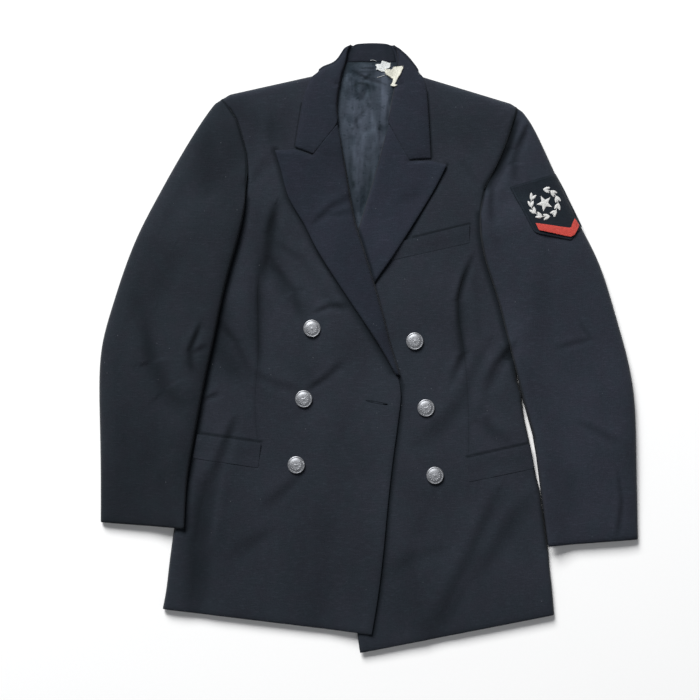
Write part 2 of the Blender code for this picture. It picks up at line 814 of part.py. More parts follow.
def make_badge(pile):
    """The sleeve badge: a cloth shield with a chevron, a star and two sprigs."""
    across = Across(5, False, True)
    made, outside = top_sheet(
        "badge_patch",
        BADGE,
        across,
        pile,
        ("badge_cloth", BADGE_CLOTH),
        step=0.5,
        wall=BADGE_WALL,
        reach=5.0,
        soften=0.0,
        folds=0.0,
        radius=FOLD_RADIUS + 1.3,
        gap=0.4,
        top=BADGE_POINT,
        fade=1.5,
    )
    pile.add(refined(outside))
    top_sheet(
        "badge_chevron", CHEVRON, Across(1, False, False), pile, ("red_thread", RED_THREAD), step=0.5,
        wall=BADGE_WALL, reach=4.0, soften=0.0, folds=0.0, foot=Pile(),
    )
    white = ("white_thread", WHITE_THREAD)
    star = []
    for i in range(10):
        radius = STAR_WAIST if i % 2 else STAR_RADIUS
        star.append((-radius * math.sin(math.pi * i / 5), radius * math.cos(math.pi * i / 5)))
    surface_plate("badge_star", on_badge(star), pile, BADGE_WALL, *white, reach=5.0)
    surface_plate("badge_sprig_right", on_badge(SPRIG[::-1]), pile, BADGE_WALL, *white, reach=5.0)
    mirrored = [(-x, y) for x, y in SPRIG]
    surface_plate("badge_sprig_left", on_badge(mirrored), pile, BADGE_WALL, *white, reach=5.0)


def make_labels(pile):
    """Two torn pieces of label at the back of the neck."""
    white = ((9, 382), (28, 381), (27, 371.5), (18, 373.5), (11, 374))
    surface_plate("neck_label", white, pile, LABEL, "white_tape", WHITE_TAPE, reach=9.0)
    fill(pile, white, float(pile.rest(np.array(20.0), np.array(377.0), 6.0)) + 0.4 + LABEL)
    cream = ((18, 368), (33, 369), (33, 363), (28, 361), (28.5, 349), (20, 349.5), (19.5, 361))
    surface_plate("size_label", cream, pile, LABEL, "cream_tape", CREAM_TAPE, reach=3.0)


def clear_scene():
    for old in list(bpy.data.objects):
        bpy.data.objects.remove(old, do_unlink=True)
    made = bpy.data.collections.new("service_dress_jacket")
    bpy.context.scene.collection.children.link(made)


def main():
    clear_scene()
    pile = Pile()
    make_back(pile)
    make_under_sleeve("right_under_sleeve", RIGHT_SLEEVE, RIGHT_FRONT, -1, pile)
    make_under_sleeve("left_under_sleeve", LEFT_SLEEVE, LEFT_FRONT, 1, pile)
    satin = ("satin", SATIN)
    flat = Pile(pile.height)
    made, outside = top_sheet(
        "back_lining", BACK_LINING, Across(4, False, False), pile, satin, step=1.0, wall=LINING,
        reach=3.0, soften=0.0, folds=0.0,
    )
    pile.add(refined(outside))
    stand = top_sheet(
        "collar_stand", COLLAR_STAND, Across(4, False, False), Pile(), ("facing", FACING), step=1.0,
        wall=2.2, floor=STAND_HEIGHT, folds=0.0,
    )
    neck = Pile(pile.height)
    front_look = dict(step=1 / 3, reach=18.0, floor=FRONT_HEIGHT, turned_start=True, turn_from=(0, 4.2), pad=1.0)
    before_left = Pile(pile.height)
    made, left_front = top_sheet(
        "left_front", LEFT_FRONT, Across(13, False, True), pile, foot=flat, **front_look
    )
    pile.add(refined(left_front))
    make_welt("breast_welt", BREAST_WELT, pile, WOOL, "wool")
    make_welt("left_hip_welt", LEFT_HIP_WELT, pile, WOOL, "wool")
    lapel = dict(step=0.5, foot=before_left, top=LEFT_GORGE, fade=2.0, folds=0.0, radius=4.4)
    made, left_lapel = top_sheet(
        "left_lapel", LEFT_LAPEL, Across(0, True, False, shares=[0.2, 0.42, 0.56, 0.7, 0.85]),
        pile, ("facing", FACING), **lapel
    )
    fronts = Pile(pile.height)
    pile.add(refined(left_lapel))
    before_right = Pile(pile.height)
    made, right_front = top_sheet(
        "right_front", RIGHT_FRONT, Across(13, False, True), pile, foot=flat, **front_look
    )
    pile.add(refined(right_front))
    fronts.add(refined(right_front))
    make_welt("right_hip_welt", RIGHT_HIP_WELT, pile, WOOL, "wool")
    lapel = dict(step=0.5, foot=before_right, top=RIGHT_GORGE, fade=2.0, folds=0.0, radius=4.4)
    made, right_lapel = top_sheet(
        "right_lapel", RIGHT_LAPEL, Across(0, True, False, shares=[0.2, 0.42, 0.56, 0.7, 0.85]),
        pile, ("facing", FACING), **lapel
    )
    make_collar(fronts)
    for name, x, y in BUTTONS:
        make_button(name, x, y, pile)
    make_sleeves(fronts)
    make_labels(neck)


def make_sleeves(fronts):
    """The top sleeves, over the sides of the fronts and joined to them at the armholes."""
    for name, table, front, side in (
        ("right_top_sleeve", RIGHT_SLEEVE, RIGHT_FRONT, -1),
        ("left_top_sleeve", LEFT_SLEEVE, LEFT_FRONT, 1),
    ):
        seam = side_line(front, 0, UNDERARM_ROW)
        seam = moved_line(seam, side * 0.8)[::-1]
        steps = np.hypot(*np.diff(seam, axis=0).T)
        share = np.concatenate([[0], np.cumsum(steps)]) / steps.sum()
        top = [(s, x, y) for s, (x, y) in zip(share, seam)]
        rows = [(*seam[0], *seam[-1])] + list(table[1:])
        below = fronts.only_below(seam[0][1] - 4)
        made, outside = top_sheet(
            name, rows, Across(8, True, True), below, step=0.5, floor=FRONT_HEIGHT,
            lift=SLEEVE_LIFT, turn_from=(0.9, 0.0), top=top, fade=2.5, dome=SLEEVE_ROUND,
            pad=0.8,
        )
        if side > 0:
            on_sleeve = Pile(below.height)
            on_sleeve.add(refined(outside))
            make_badge(on_sleeve)


main()
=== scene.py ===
import json
import math

import bpy
import numpy as np
from mathutils import Matrix, Vector
from mathutils.bvhtree import BVHTree

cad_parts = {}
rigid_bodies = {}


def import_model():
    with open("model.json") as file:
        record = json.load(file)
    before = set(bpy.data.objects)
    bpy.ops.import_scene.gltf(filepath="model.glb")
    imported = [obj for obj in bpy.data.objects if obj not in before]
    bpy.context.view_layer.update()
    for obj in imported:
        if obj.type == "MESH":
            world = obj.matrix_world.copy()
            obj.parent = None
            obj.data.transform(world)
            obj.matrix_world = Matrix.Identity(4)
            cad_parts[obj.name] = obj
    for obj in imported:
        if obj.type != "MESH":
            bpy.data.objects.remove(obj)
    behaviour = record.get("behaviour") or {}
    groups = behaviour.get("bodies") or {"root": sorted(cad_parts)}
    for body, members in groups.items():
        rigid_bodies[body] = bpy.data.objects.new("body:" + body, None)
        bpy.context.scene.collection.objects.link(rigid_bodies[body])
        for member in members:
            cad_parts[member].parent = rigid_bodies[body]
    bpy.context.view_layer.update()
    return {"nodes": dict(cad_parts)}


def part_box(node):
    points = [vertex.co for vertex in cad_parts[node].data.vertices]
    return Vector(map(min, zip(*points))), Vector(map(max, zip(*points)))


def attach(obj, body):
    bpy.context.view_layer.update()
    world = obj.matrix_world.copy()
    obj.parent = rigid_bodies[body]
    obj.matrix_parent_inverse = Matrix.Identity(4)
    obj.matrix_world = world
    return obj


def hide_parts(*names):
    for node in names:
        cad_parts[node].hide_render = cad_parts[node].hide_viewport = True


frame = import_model()
mm = 0.001


# small helpers for selecting and shaping


def deselectAll():
    if bpy.context.mode != "OBJECT":
        bpy.ops.object.mode_set(mode="OBJECT")
    for thing in bpy.context.view_layer.objects:
        thing.select_set(False)


def makeActive(piece):
    deselectAll()
    piece.select_set(True)
    bpy.context.view_layer.objects.active = piece


def applyModifier(piece, kind, **settings):
    makeActive(piece)
    modifier = piece.modifiers.new(kind.title(), kind)
    for key, value in settings.items():
        setattr(modifier, key, value)
    bpy.ops.object.modifier_apply(modifier=modifier.name)


def pointsOf(piece):
    values = np.empty(len(piece.data.vertices) * 3)
    piece.data.vertices.foreach_get("co", values)
    return values.reshape(-1, 3)


def setPoints(piece, points):
    piece.data.vertices.foreach_set("co", np.ascontiguousarray(points).ravel())
    piece.data.update()


def addObject(name, data):
    thing = bpy.data.objects.new(name, data)
    bpy.context.scene.collection.objects.link(thing)
    return thing


def startEditing(kind=None, action="SELECT"):
    bpy.ops.object.mode_set(mode="EDIT")
    if kind:
        bpy.ops.mesh.select_mode(type=kind)
    bpy.ops.mesh.select_all(action=action)


def stopEditing():
    bpy.ops.object.mode_set(mode="OBJECT")


def smoothWithin(piece, degrees):  # edges that turn more than this stay sharp
    makeActive(piece)
    bpy.ops.object.shade_smooth_by_angle(angle=math.radians(degrees))


def bevelEdges(piece, width, segments, degrees):
    limit = math.radians(degrees)
    applyModifier(piece, "BEVEL", width=width, segments=segments, limit_method="ANGLE", angle_limit=limit)


def smoothStep(value):
    value = np.clip(value, 0.0, 1.0)
    return value * value * (3 - 2 * value)


def copyOfSolid(node, name):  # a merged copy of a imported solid, ready for finer work
    mesh = frame["nodes"][node].data.copy()
    mesh.materials.clear()
    piece = addObject(name, mesh)
    makeActive(piece)
    startEditing()
    bpy.ops.mesh.remove_doubles(threshold=0.005 * mm)
    bpy.ops.mesh.customdata_custom_splitnormals_clear()
    stopEditing()
    return piece


def refineCloth(piece, rounds, corner=58):  # corners sharper than this many degrees are kept
    makeActive(piece)
    startEditing()
    bpy.ops.mesh.tris_convert_to_quads(face_threshold=math.radians(25), shape_threshold=math.radians(75))
    bpy.ops.mesh.select_all(action="DESELECT")
    bpy.ops.mesh.select_mode(type="EDGE")
    bpy.ops.mesh.edges_select_sharp(sharpness=math.radians(corner))
    bpy.ops.transform.edge_crease(value=0.9)
    stopEditing()
    applyModifier(piece, "SUBSURF", levels=rounds, render_levels=rounds)
    smoothWithin(piece, 50)


def refineUpper(piece):  # the side that shows gets twice as many faces along and across
    makeActive(piece)
    startEditing("FACE", "DESELECT")
    stopEditing()
    up = np.empty(len(piece.data.polygons) * 3)
    piece.data.polygons.foreach_get("normal", up)
    piece.data.polygons.foreach_set("select", up.reshape(-1, 3)[:, 2] > 0.3)
    bpy.ops.object.mode_set(mode="EDIT")
    bpy.ops.mesh.subdivide(number_cuts=1)
    stopEditing()


class Surface:  # heights of a finished piece, for what is laid on it
    def __init__(self, *pieces):
        self.trees = []
        for piece in pieces:
            points = [Vector(p) for p in pointsOf(piece)]
            faces = [list(f.vertices) for f in piece.data.polygons]
            self.trees.append(BVHTree.FromPolygons(points, faces))

    def height(self, x, y, otherwise=0.0):
        best = None
        for tree in self.trees:
            hit = tree.ray_cast(Vector((x, y, 0.2)), Vector((0, 0, -1)))
            if hit[0] is not None and (best is None or hit[0].z > best):
                best = hit[0].z
        return otherwise if best is None else best


def layOn(piece, surface, gap=0.0):  # heights above zero become heights above the surface
    points = pointsOf(piece)
    below = 10 * mm
    for i, (x, y, z) in enumerate(points):
        below = surface.height(x, y, below)  # past an edge the last height goes on
        points[i, 2] = below + z + gap
    setPoints(piece, points)


# shader maths written as expressions


class Value:
    def __init__(self, shader, socket):
        self.shader = shader
        self.socket = socket

    def math(self, operation, *others):
        inputs = {i: other for i, other in enumerate((self, *others))}
        return self.shader.add("ShaderNodeMath", {"operation": operation}, inputs)

    def __add__(self, other):
        return self.math("ADD", other)

    def __sub__(self, other):
        return self.math("SUBTRACT", other)

    def __rsub__(self, other):
        return (self * -1.0).math("ADD", other)

    def __mul__(self, other):
        return self.math("MULTIPLY", other)

    def __truediv__(self, other):
        return self.math("DIVIDE", other)

    def __abs__(self):
        return self.math("ABSOLUTE")

    __radd__, __rmul__ = __add__, __mul__

    def sine(self):
        return self.math("SINE")

    def most(self, other):
        return self.math("MAXIMUM", other)

    def least(self, other):
        return self.math("MINIMUM", other)

    def ramp(self, low, high):  # 0 at low, 1 at high, smooth between
        settings = {"interpolation_type": "SMOOTHSTEP", "clamp": True}
        inputs = {"Value": self, "From Min": low, "From Max": high, "To Min": 0.0, "To Max": 1.0}
        return self.shader.add("ShaderNodeMapRange", settings, inputs)


def rgba(colour):
    return (*colour, 1.0) if isinstance(colour, tuple) else colour


class Shader:
    def __init__(self, name):
        self.material = bpy.data.materials.new(name)
        self.material.use_nodes = True
        self.nodes = self.material.node_tree.nodes
        self.links = self.material.node_tree.links
        self.surface = self.nodes["Principled BSDF"]

    def add(self, kind, settings=None, inputs=None, output=0):
        node = self.nodes.new(kind)
        for key, value in (settings or {}).items():
            if key == "curve":
                points = node.mapping.curves[0].points
                points[0].location = value[0]
                points[1].location = value[-1]
                for place in value[1:-1]:
                    points.new(*place)
                node.mapping.update()
            else:
                setattr(node, key, value)
        for key, value in (inputs or {}).items():
            self.feed(node.inputs[key], value)
        return Value(self, node.outputs[output])

    def feed(self, socket, value):
        if isinstance(value, Value):
            self.links.new(value.socket, socket)
        elif value is not None:
            socket.default_value = value

    def attribute(self, name):
        return self.add("ShaderNodeAttribute", {"attribute_name": name}, output=2)

    def place(self, scale=(1, 1, 1)):
        inputs = {"Vector": self.add("ShaderNodeTexCoord", output=3), "Scale": scale}
        return self.add("ShaderNodeMapping", {"vector_type": "POINT"}, inputs)

    def axes(self):
        coordinates = self.add("ShaderNodeTexCoord", output=3)
        return [self.add("ShaderNodeSeparateXYZ", None, {0: coordinates}, output=i) for i in range(2)]

    def noise(self, scale, detail=2.0, stretch=(1, 1, 1), rough=0.5):
        inputs = {"Vector": self.place(stretch), "Scale": scale, "Detail": detail, "Roughness": rough}
        return self.add("ShaderNodeTexNoise", {"noise_dimensions": "3D"}, inputs)

    def mix(self, share, first, second):
        settings = {"data_type": "RGBA", "blend_type": "MIX"}
        return self.add("ShaderNodeMix", settings, {0: share, 6: rgba(first), 7: rgba(second)}, output=2)

    def shade(self, colour, amount):  # a colour made lighter or darker by a number
        return self.add("ShaderNodeVectorMath", {"operation": "SCALE"}, {0: colour, "Scale": amount})

    def finish(self, colour, roughness, height=None, depth=0.0003, **fixed):
        self.feed(self.surface.inputs["Base Color"], rgba(colour))
        self.feed(self.surface.inputs["Roughness"], roughness)
        if height is not None:
            bump = self.add("ShaderNodeBump", None, {"Height": height, "Distance": depth, "Strength": 1.0})
            self.feed(self.surface.inputs["Normal"], bump)
        for key, value in fixed.items():
            self.surface.inputs[key.replace("_", " ")].default_value = value
        return self.material


def seamMask(shader, line, width):  # 1 on a line that runs down the cloth, from points (x, y) in mm
    x, y = shader.axes()
    ys = [p[1] for p in line]
    xs = [p[0] for p in line]
    low, high = min(ys), max(ys)
    left, right = min(xs) - 5, max(xs) + 5
    share = (y - low * mm) / ((high - low) * mm)
    places = sorted(((py - low) / (high - low), (px - left) / (right - left)) for px, py in line)
    bent = shader.add("ShaderNodeFloatCurve", {"curve": places}, {"Factor": 1.0, "Value": share.most(0.0).least(1.0)})
    away = abs(x - (bent * ((right - left) * mm) + left * mm))
    inside = share.ramp(-0.004, 0.02) * (1 - share.ramp(0.88, 1.0)) * (0.42 + share.ramp(0.35, 0.8) * 0.58)
    fine = 1 - away.ramp(width * 0.2 * mm, width * 0.9 * mm)
    return (fine * 0.55 + (1 - away.ramp(0.0, width * 4.5 * mm)) * 0.45) * inside


# cloth finishes

coolGloss = (0.55, 0.8, 1.0, 1)  # tint of the gloss, without which the dark cloth looks brown
woolLook = {
    "colour": (0.0192, 0.0203, 0.0275),
    "dark": (0.0139, 0.0145, 0.0195),
    "lint": (0.17, 0.18, 0.2),
    "twillPitch": 1.25,  # mm from one diagonal rib to the next
    "napScale": 620,
    "drift": (0.84, 1.04, 0.97),  # some patches are greener than the rest
    "mottle": 0.17,
    "skirt": 0.17,  # how much darker the cloth is towards the hem
    "roughness": 0.88,
    "sheen": 0.06,
    "edge": 2.2,  # mm of shade along a panel's own edge
    "edgeShade": 0.3,
    "coverShade": 0.62,  # how dark it is right under an edge that lies over it
    "grooveShade": 0.5,
    "border": None,  # mm from the edge to a badge's folded border
}


def woolMaterial(name, look, seams=(), seamWidth=1.3, tilt=0.9):
    s = Shader(name)
    x, y = s.axes()
    rib = ((x * math.cos(tilt) + y * math.sin(tilt)) * (2 * math.pi / (look["twillPitch"] * mm))).sine()
    nap = s.noise(look["napScale"], 3.0, rough=0.65)
    weft = s.noise(110, 2.0, stretch=(1.0, 5.5, 1.0))
    warp = s.noise(80, 2.0, stretch=(10.0, 1.0, 1.0))
    cloud = s.noise(9, 3.0)
    patches = s.noise(38, 2.0)
    slub = weft.ramp(0.56, 0.72)
    light = 1.0 + (nap - 0.5) * 0.9 + (weft - 0.5) * 0.35 + (warp - 0.5) * 0.25 + slub * 0.2
    light = light * (1 - (1 - (y + x * 0.4).ramp(-0.36, -0.1)) * look["skirt"])
    light = light + (cloud - 0.5) * look["mottle"] * 2.4 + (patches - 0.5) * look["mottle"] + rib * 0.05
    base = s.mix(cloud.ramp(0.3, 0.75), look["dark"], look["colour"])
    base = s.mix(0.55, base, look["colour"])
    drift = s.noise(46, 2.0, rough=0.6)
    base = s.mix(drift.ramp(0.36, 0.64) * 0.5, base, tuple(c * t for c, t in zip(look["colour"], look["drift"])))
    crease = s.attribute("crease")
    edge = s.attribute("edgeAway")
    cover = s.attribute("coverAway")
    # painted shade: along folds, along a panel's own edge, and under edges that lie over it
    light = light * (1 - crease * foldLook["shade"]) * (1 - (1 - edge.ramp(0.2, look["edge"])) * look["edgeShade"])
    light = light * (1 - (1 - cover.ramp(0.1, 1.0)) * look["coverShade"])
    groove = None
    for line in seams:
        mask = seamMask(s, line, seamWidth)
        groove = mask if groove is None else groove.most(mask)
    if groove is not None:
        light = light * (1 - groove * look["grooveShade"])
    colour = s.shade(base, light.most(0.12))
    dots = {"Vector": s.place(), "Scale": 105.0, "Randomness": 1.0}
    speck = s.add("ShaderNodeTexVoronoi", {"feature": "F1"}, dots)
    thin = s.noise(33, 1.0)
    lint = (1 - speck.ramp(0.035, 0.075)) * thin.ramp(0.59, 0.65)
    colour = s.mix(lint * 0.4, colour, look["lint"])
    # lighter within the folded border, with painted shade along the fold line
    if look["border"]:
        border = 1 - edge.ramp(look["border"] - 0.3, look["border"] + 0.2)
        fold = abs(edge - look["border"]).ramp(0.0, 0.8)
        colour = s.shade(colour, (1.0 + border * 0.3) * (0.62 + fold * 0.38))
    height = nap * 0.9 + rib * 0.22 + weft * 0.35 + patches * 0.6
    if groove is not None:
        height = height - groove * 2.6
    rough = look["roughness"] + (nap - 0.5) * 0.12
    return s.finish(
        colour, rough, height, 0.00032, Sheen_Weight=look["sheen"], Sheen_Roughness=0.5,
        Specular_IOR_Level=0.2, Specular_Tint=coolGloss,
    )


# copies of one navy wool, each lighter or darker for how light falls where its panel lies: painted light and shade on
# the collar, lapels, stand and sleeves
facingLook = dict(woolLook, colour=(0.0163, 0.0170, 0.0254), dark=(0.0125, 0.0129, 0.0187), mottle=0.14)
shadedRightFacingLook = dict(facingLook, colour=(0.0150, 0.0158, 0.0240), dark=(0.0114, 0.0118, 0.0174))
litLeftFacingLook = dict(facingLook, colour=(0.0178, 0.0188, 0.0286), dark=(0.0137, 0.0142, 0.0210))
shadedStandLook = dict(facingLook, colour=(0.0134, 0.0141, 0.0206), dark=(0.0099, 0.0104, 0.0147))
shadedRightSleeveLook = dict(woolLook, colour=(0.0137, 0.0147, 0.0195), dark=(0.0103, 0.0108, 0.0140), skirt=0.14)
litLeftSleeveLook = dict(woolLook, colour=(0.0208, 0.0219, 0.0310), dark=(0.0157, 0.0164, 0.0227))
backLook = dict(woolLook, mottle=0.1)

satinLook = {"colour": (0.0318, 0.0366, 0.0492), "dark": (0.0052, 0.0072, 0.0110), "roughness": 0.58, "threads": 900}


def satinMaterial(look):
    s = Shader("satinLining")
    thread = s.noise(look["threads"], 1.0, stretch=(1.0, 0.12, 1.0))
    blot = s.noise(42, 3.0, rough=0.55)
    small = s.noise(170, 2.0, rough=0.5)
    streak = s.noise(30, 2.0, stretch=(2.0, 0.4, 1.0))
    dark = (1 - blot.ramp(0.34, 0.54)) * 0.62 + (1 - streak.ramp(0.36, 0.54)) * 0.42
    dark = dark + (1 - small.ramp(0.3, 0.4)) * 0.5
    # painted sheen: lighter streaks along the satin
    paintedSheen = s.noise(26, 2.0, stretch=(2.6, 0.35, 1.0)).ramp(0.52, 0.68)
    colour = s.mix(dark, look["colour"], look["dark"])
    # painted shade along the lining's edges
    near = 1 - s.attribute("edgeAway").ramp(1.0, 9.0) * 0.55
    # painted shade and highlight from the lining's listed creases
    drawn = 1 - s.attribute("crease")
    grain = 1.0 + (small - 0.5) * 0.5 + (thread - 0.5) * 0.25
    colour = s.shade(colour, grain * (1.55 - near) * drawn * (0.84 + paintedSheen * 0.5))
    rough = look["roughness"] + (blot - 0.5) * 0.25
    height = blot * 1.4 + streak * 1.2 + small * 0.3 + thread * 0.03
    return s.finish(
        colour, rough, height, 0.0010, Sheen_Weight=0.08, Specular_IOR_Level=0.3, Specular_Tint=coolGloss,
    )


metalLook = {"bright": (0.34, 0.35, 0.37), "grime": (0.045, 0.047, 0.052), "roughness": 0.46}


def metalMaterial(look):
    s = Shader("agedSilver")
    hollow = s.add("ShaderNodeNewGeometry", output=7)
    spots = s.noise(900, 3.0)
    tone = s.noise(220, 2.0)
    worn = hollow.ramp(0.46, 0.515)
    colour = s.mix(worn, look["grime"], look["bright"])
    colour = s.shade(colour, 1.0 + (tone - 0.5) * 0.5)
    rough = look["roughness"] + (spots - 0.5) * 0.2 + (1 - worn) * 0.25
    return s.finish(colour, rough, spots, 0.00008, Metallic=0.92)


def threadMaterial(name, colour, pitch, turn, rough=0.62, gloss=0.5):  # rows of satin stitch at an angle
    s = Shader(name)
    x, y = s.axes()
    along = x * math.cos(turn) + y * math.sin(turn)
    wander = s.noise(160, 1.0)
    ridge = ((along + (wander - 0.5) * 0.0007) * (2 * math.pi / (pitch * mm))).sine() * 0.5 + 0.5
    uneven = s.noise(420, 2.0)
    # the grooves between the rows are painted darker, as shade
    shade = 0.72 + ridge * 0.3 + (uneven - 0.5) * 0.35
    return s.finish(
        s.shade(colour, shade), rough, ridge, 0.0003, Sheen_Weight=0.24 * gloss, Specular_IOR_Level=gloss,
    )


def tapeMaterial(name, colour):
    s = Shader(name)
    x, y = s.axes()
    weave = 2 * math.pi / (0.55 * mm)
    over = (x * weave).sine() * (y * weave).sine()
    stain = s.noise(140, 3.0)
    colour = s.shade(colour, 0.9 + over * 0.06 + (stain - 0.5) * 0.35)
    return s.finish(colour, 0.8, over, 0.00012, Sheen_Weight=0.2)


# the lie of the cloth: listed folds


def strokes(*rows):  # each row: half width, depth or darkness, then x and y of every point, all in mm
    return [(list(zip(row[2::2], row[3::2])), *row[:2]) for row in rows]


clothFolds = {
    "front": strokes(
        (6.5, 2.2, -124, 190, -132, 154, -135, 119, -139, 95), (6, 1.6, -134, 119, -116, 97, -100, 75, -88, 36),
        (6, 0.7, -119, 138, -91, 119, -70, 90), (4, 0.9, -70, 48, -52, 56, -31, 55),
        (5, 1.4, -198, 34, -177, 7, -154, -40), (4.5, 0.9, -80, -55, -59, -41, -37, -21),
        (6, 0.6, -150, -35, -123, -48, -92, -56), (6.5, 1.6, -181, -99, -195, -139, -209, -174),
        (13, 3.0, -219, -185, -229, -258, -236, -350), (7, -0.9, -196, -180, -205, -225, -216, -268),
        (7, 0.7, -95, -174, -114, -191, -137, -210), (9, 0.7, -132, -245, -157, -261, -178, -273),
        (7, 0.6, -154, 224, -134, 253), (7, 0.7, -130, 307, -130, 267), (3.5, 0.8, -217, -68, -202, -61),
        (5, 1.0, -72, 168, -48, 189, -23, 201), (4, 0.6, -52, 176, -25, 182),
        (4.5, 1.5, 137, 119, 126, 90, 119, 63, 121, 27, 126, -7, 111, -43),
        (10, 1.1, 160, 6, 137, -39, 122, -74, 98, -102, 70, -124), (7, 1.9, 193, 4, 170, -24, 160, -48),
        (8, 0.9, 134, -65, 144, -95, 161, -111, 188, -127),
        (11, 1.7, 172, -195, 146, -252, 123, -301, 102, -346, 82, -384), (11, 1.0, 217, -199, 176, -254, 145, -300),
        (10, 0.6, 95, -269, 58, -280, 26, -301), (5, 0.6, 126, 248, 140, 225),
        (12, 0.7, 66, -232, 56, -285, 47, -355), (14, 0.7, -52, -232, -57, -299, -68, -363),
        (8, 0.4, 44, 197, 74, 211),
    ),
    "rightSleeve": strokes(
        (11, 3.4, -296, 23, -289, -20, -271, -57, -250, -83), (4, 1.6, -225, 28, -237, -3, -234, -32),
        (3.5, 1.1, -232, -5, -216, 2), (8, 1.2, -277, -170, -272, -212), (14, 1.8, -217, 310, -212, 190),
        (5, 0.9, -174, 300, -167, 274), (14, 0.9, -258, 130, -280, 63), (13, 0.8, -327, -98, -323, -165),
    ),
    "leftSleeve": strokes(
        (6, 3.1, 198, 315, 192, 291, 186, 268, 173, 240, 157, 215), (5, 1.8, 180, 310, 170, 288, 161, 268),
        (5.5, 1.9, 209, 292, 197, 264, 192, 245, 197, 217), (4.5, 1.3, 165, 216, 162, 190, 162, 166),
        (3, 0.6, 279, 36, 294, 12, 251, 0), (3.5, 1.0, 331, -166, 337, -205, 332, -249),
        (5, 0.6, 279, -98, 332, -126), (10, 1.0, 268, -170, 276, -225), (9, 0.8, 201, -15, 223, -71),
        (14, 0.7, 229, 63, 245, 3), (12, 0.6, 310, -44, 318, -98),
    ),
}
foldLook = {"strength": 1.05, "downhill": (-0.35, 0.94), "shade": 0.62}
# broad shades where the cloth turns from the light
softShades = {
    "body": strokes(
        (34, 0.42, -195, 322, -150, 305, -100, 300), (32, 0.32, 85, 305, 135, 295, 190, 305),
        (21, 0.55, -198, 62, -190, 10, -182, -44), (6, 0.8, 186, -8, 187, -16),
    ),
    "front": strokes(
        (16, 0.5, -215, -170, -219, -232, -224, -280, -232, -350),
        (11, 0.56, -131, 190, -127, 140, -122, 95, -104, 62, -82, 45),
        (4.5, 0.42, -146, 118, -147, 60, -146, 0, -147, -45), (6, 0.35, -62, 76, -48, 62, -30, 52),
        (12, 0.5, -150, 185, -146, 140, -150, 80, -152, 20, -149, -10), (12, 0.25, -205, 20, -190, -8, -170, -40),
        (9, 0.25, -190, 60, -196, 20, -205, -20), (7, 0.5, 131, 112, 123, 70, 123, 25, 125, -25),
        (5, 0.25, 141, 98, 146, 50, 146, 10), (10, 0.35, 172, 5, 188, -12, 202, -34),
        (7, 0.25, 160, -44, 150, -80, 166, -112), (10, 0.2, 204, -190, 162, -270, 95, -379),
        (8, 0.16, 229, -211, 190, -252, 146, -304), (10, 0.12, 150, -190, 120, -245, 88, -300),
        (8, 0.28, -62, 262, -45, 262, -24, 252), (7, 0.22, -50, 212, -24, 204),
        (7, 0.25, -30, 245, -24, 214, -17, 180), (9, 0.12, 158, 262, 166, 232, 160, 205),
        (8, 0.16, -150, 300, -156, 270, -157, 235), (9, 0.16, -108, -20, -70, -46, -40, -40),
        (12, 0.2, 60, -330, 75, -380),
    ),
    "rightSleeve": strokes(
        (12, 0.25, -312, 75, -290, -5, -270, -50, -235, -75), (5, 0.3, -220, 40, -236, 10, -240, -20, -226, -34),
        (12, 0.18, -190, 300, -186, 240, -192, 180),
    ),
    "leftSleeve": strokes(
        (8, 0.42, 200, 318, 188, 280, 172, 245, 160, 215), (5, 0.2, 212, 300, 202, 270, 196, 240),
        (6, 0.18, 168, 205, 164, 170, 172, 120),
    ),
}


def beside(x, y, line):  # signed distance from a line of points, and the share of its length
    places = np.array(line) * mm
    lengths = np.hypot(*(places[1:] - places[:-1]).T)
    total = lengths.sum()
    best = np.full(len(x), 1.0)
    side = np.zeros(len(x))
    share = np.zeros(len(x))
    lean = np.zeros(len(x))
    done = 0.0
    for start, end, length in zip(places[:-1], places[1:], lengths):
        along = (end - start) / length
        t = (x - start[0]) * along[0] + (y - start[1]) * along[1]
        off = (x - start[0]) * -along[1] + (y - start[1]) * along[0]
        inside = np.clip(t, 0, length)
        away = np.hypot(t - inside, off)
        nearer = away < best
        best = np.where(nearer, away, best)
        side = np.where(nearer, np.where(off < 0, -away, away), side)
        share = np.where(nearer, (done + t) / total, share)
        towards = -along[1] * foldLook["downhill"][0] + along[0] * foldLook["downhill"][1]
        lean = np.where(nearer, towards, lean)
        done += length
    return best, side, share, lean, total


def strokeAt(x, y, line, half, past, run):  # 1 on the line, fading beside it and past its ends
    away, side, share, lean, length = beside(x, y, line)
    fade = smoothStep((share + past) / run) * smoothStep((1 + past - share) / run)
    return fade * np.exp(-((away / (half * mm)) ** 2))


def foldRelief(x, y, names):  # a fold is a step down away from the light, with a hollow along it
    total = np.zeros_like(x)
    shade = np.zeros_like(x)
    for name in names:
        for line, half, depth in clothFolds.get(name, []):
            away, side, share, lean, length = beside(x, y, line)
            reach = half * mm / length
            fade = smoothStep((share + 1.5 * reach + 0.1) / (2 * reach + 0.3))
            fade = fade * smoothStep((1.1 + 1.5 * reach - share) / (2 * reach + 0.3))
            wide = half * mm * (0.85 + 0.4 * np.clip(share, 0, 1))
            across = side / wide
            step = across * np.exp(0.5 - across**2 / 2)
            hollow = np.exp(-(across**2)) - 0.35 * np.exp(-((np.abs(across) - 2.1) ** 2))
            height = depth * mm * foldLook["strength"] * fade
            total += height * (np.clip(lean * 1.6, -1, 1) * step - 0.45 * hollow)
            # painted shade along each fold, besides its relief
            shade += fade * min(depth / half * 1.5, 0.8) * np.exp(-((away / (wide * 0.95)) ** 2))
        for line, half, dark in softShades[name]:
            ragged = 1 + 0.25 * np.sin(x / 0.013 + y / 0.021) * np.cos(y / 0.017)
            shade += dark * ragged * strokeAt(x, y, line, half, 0.15, 0.35)
    return total, np.clip(shade, 0, 1)


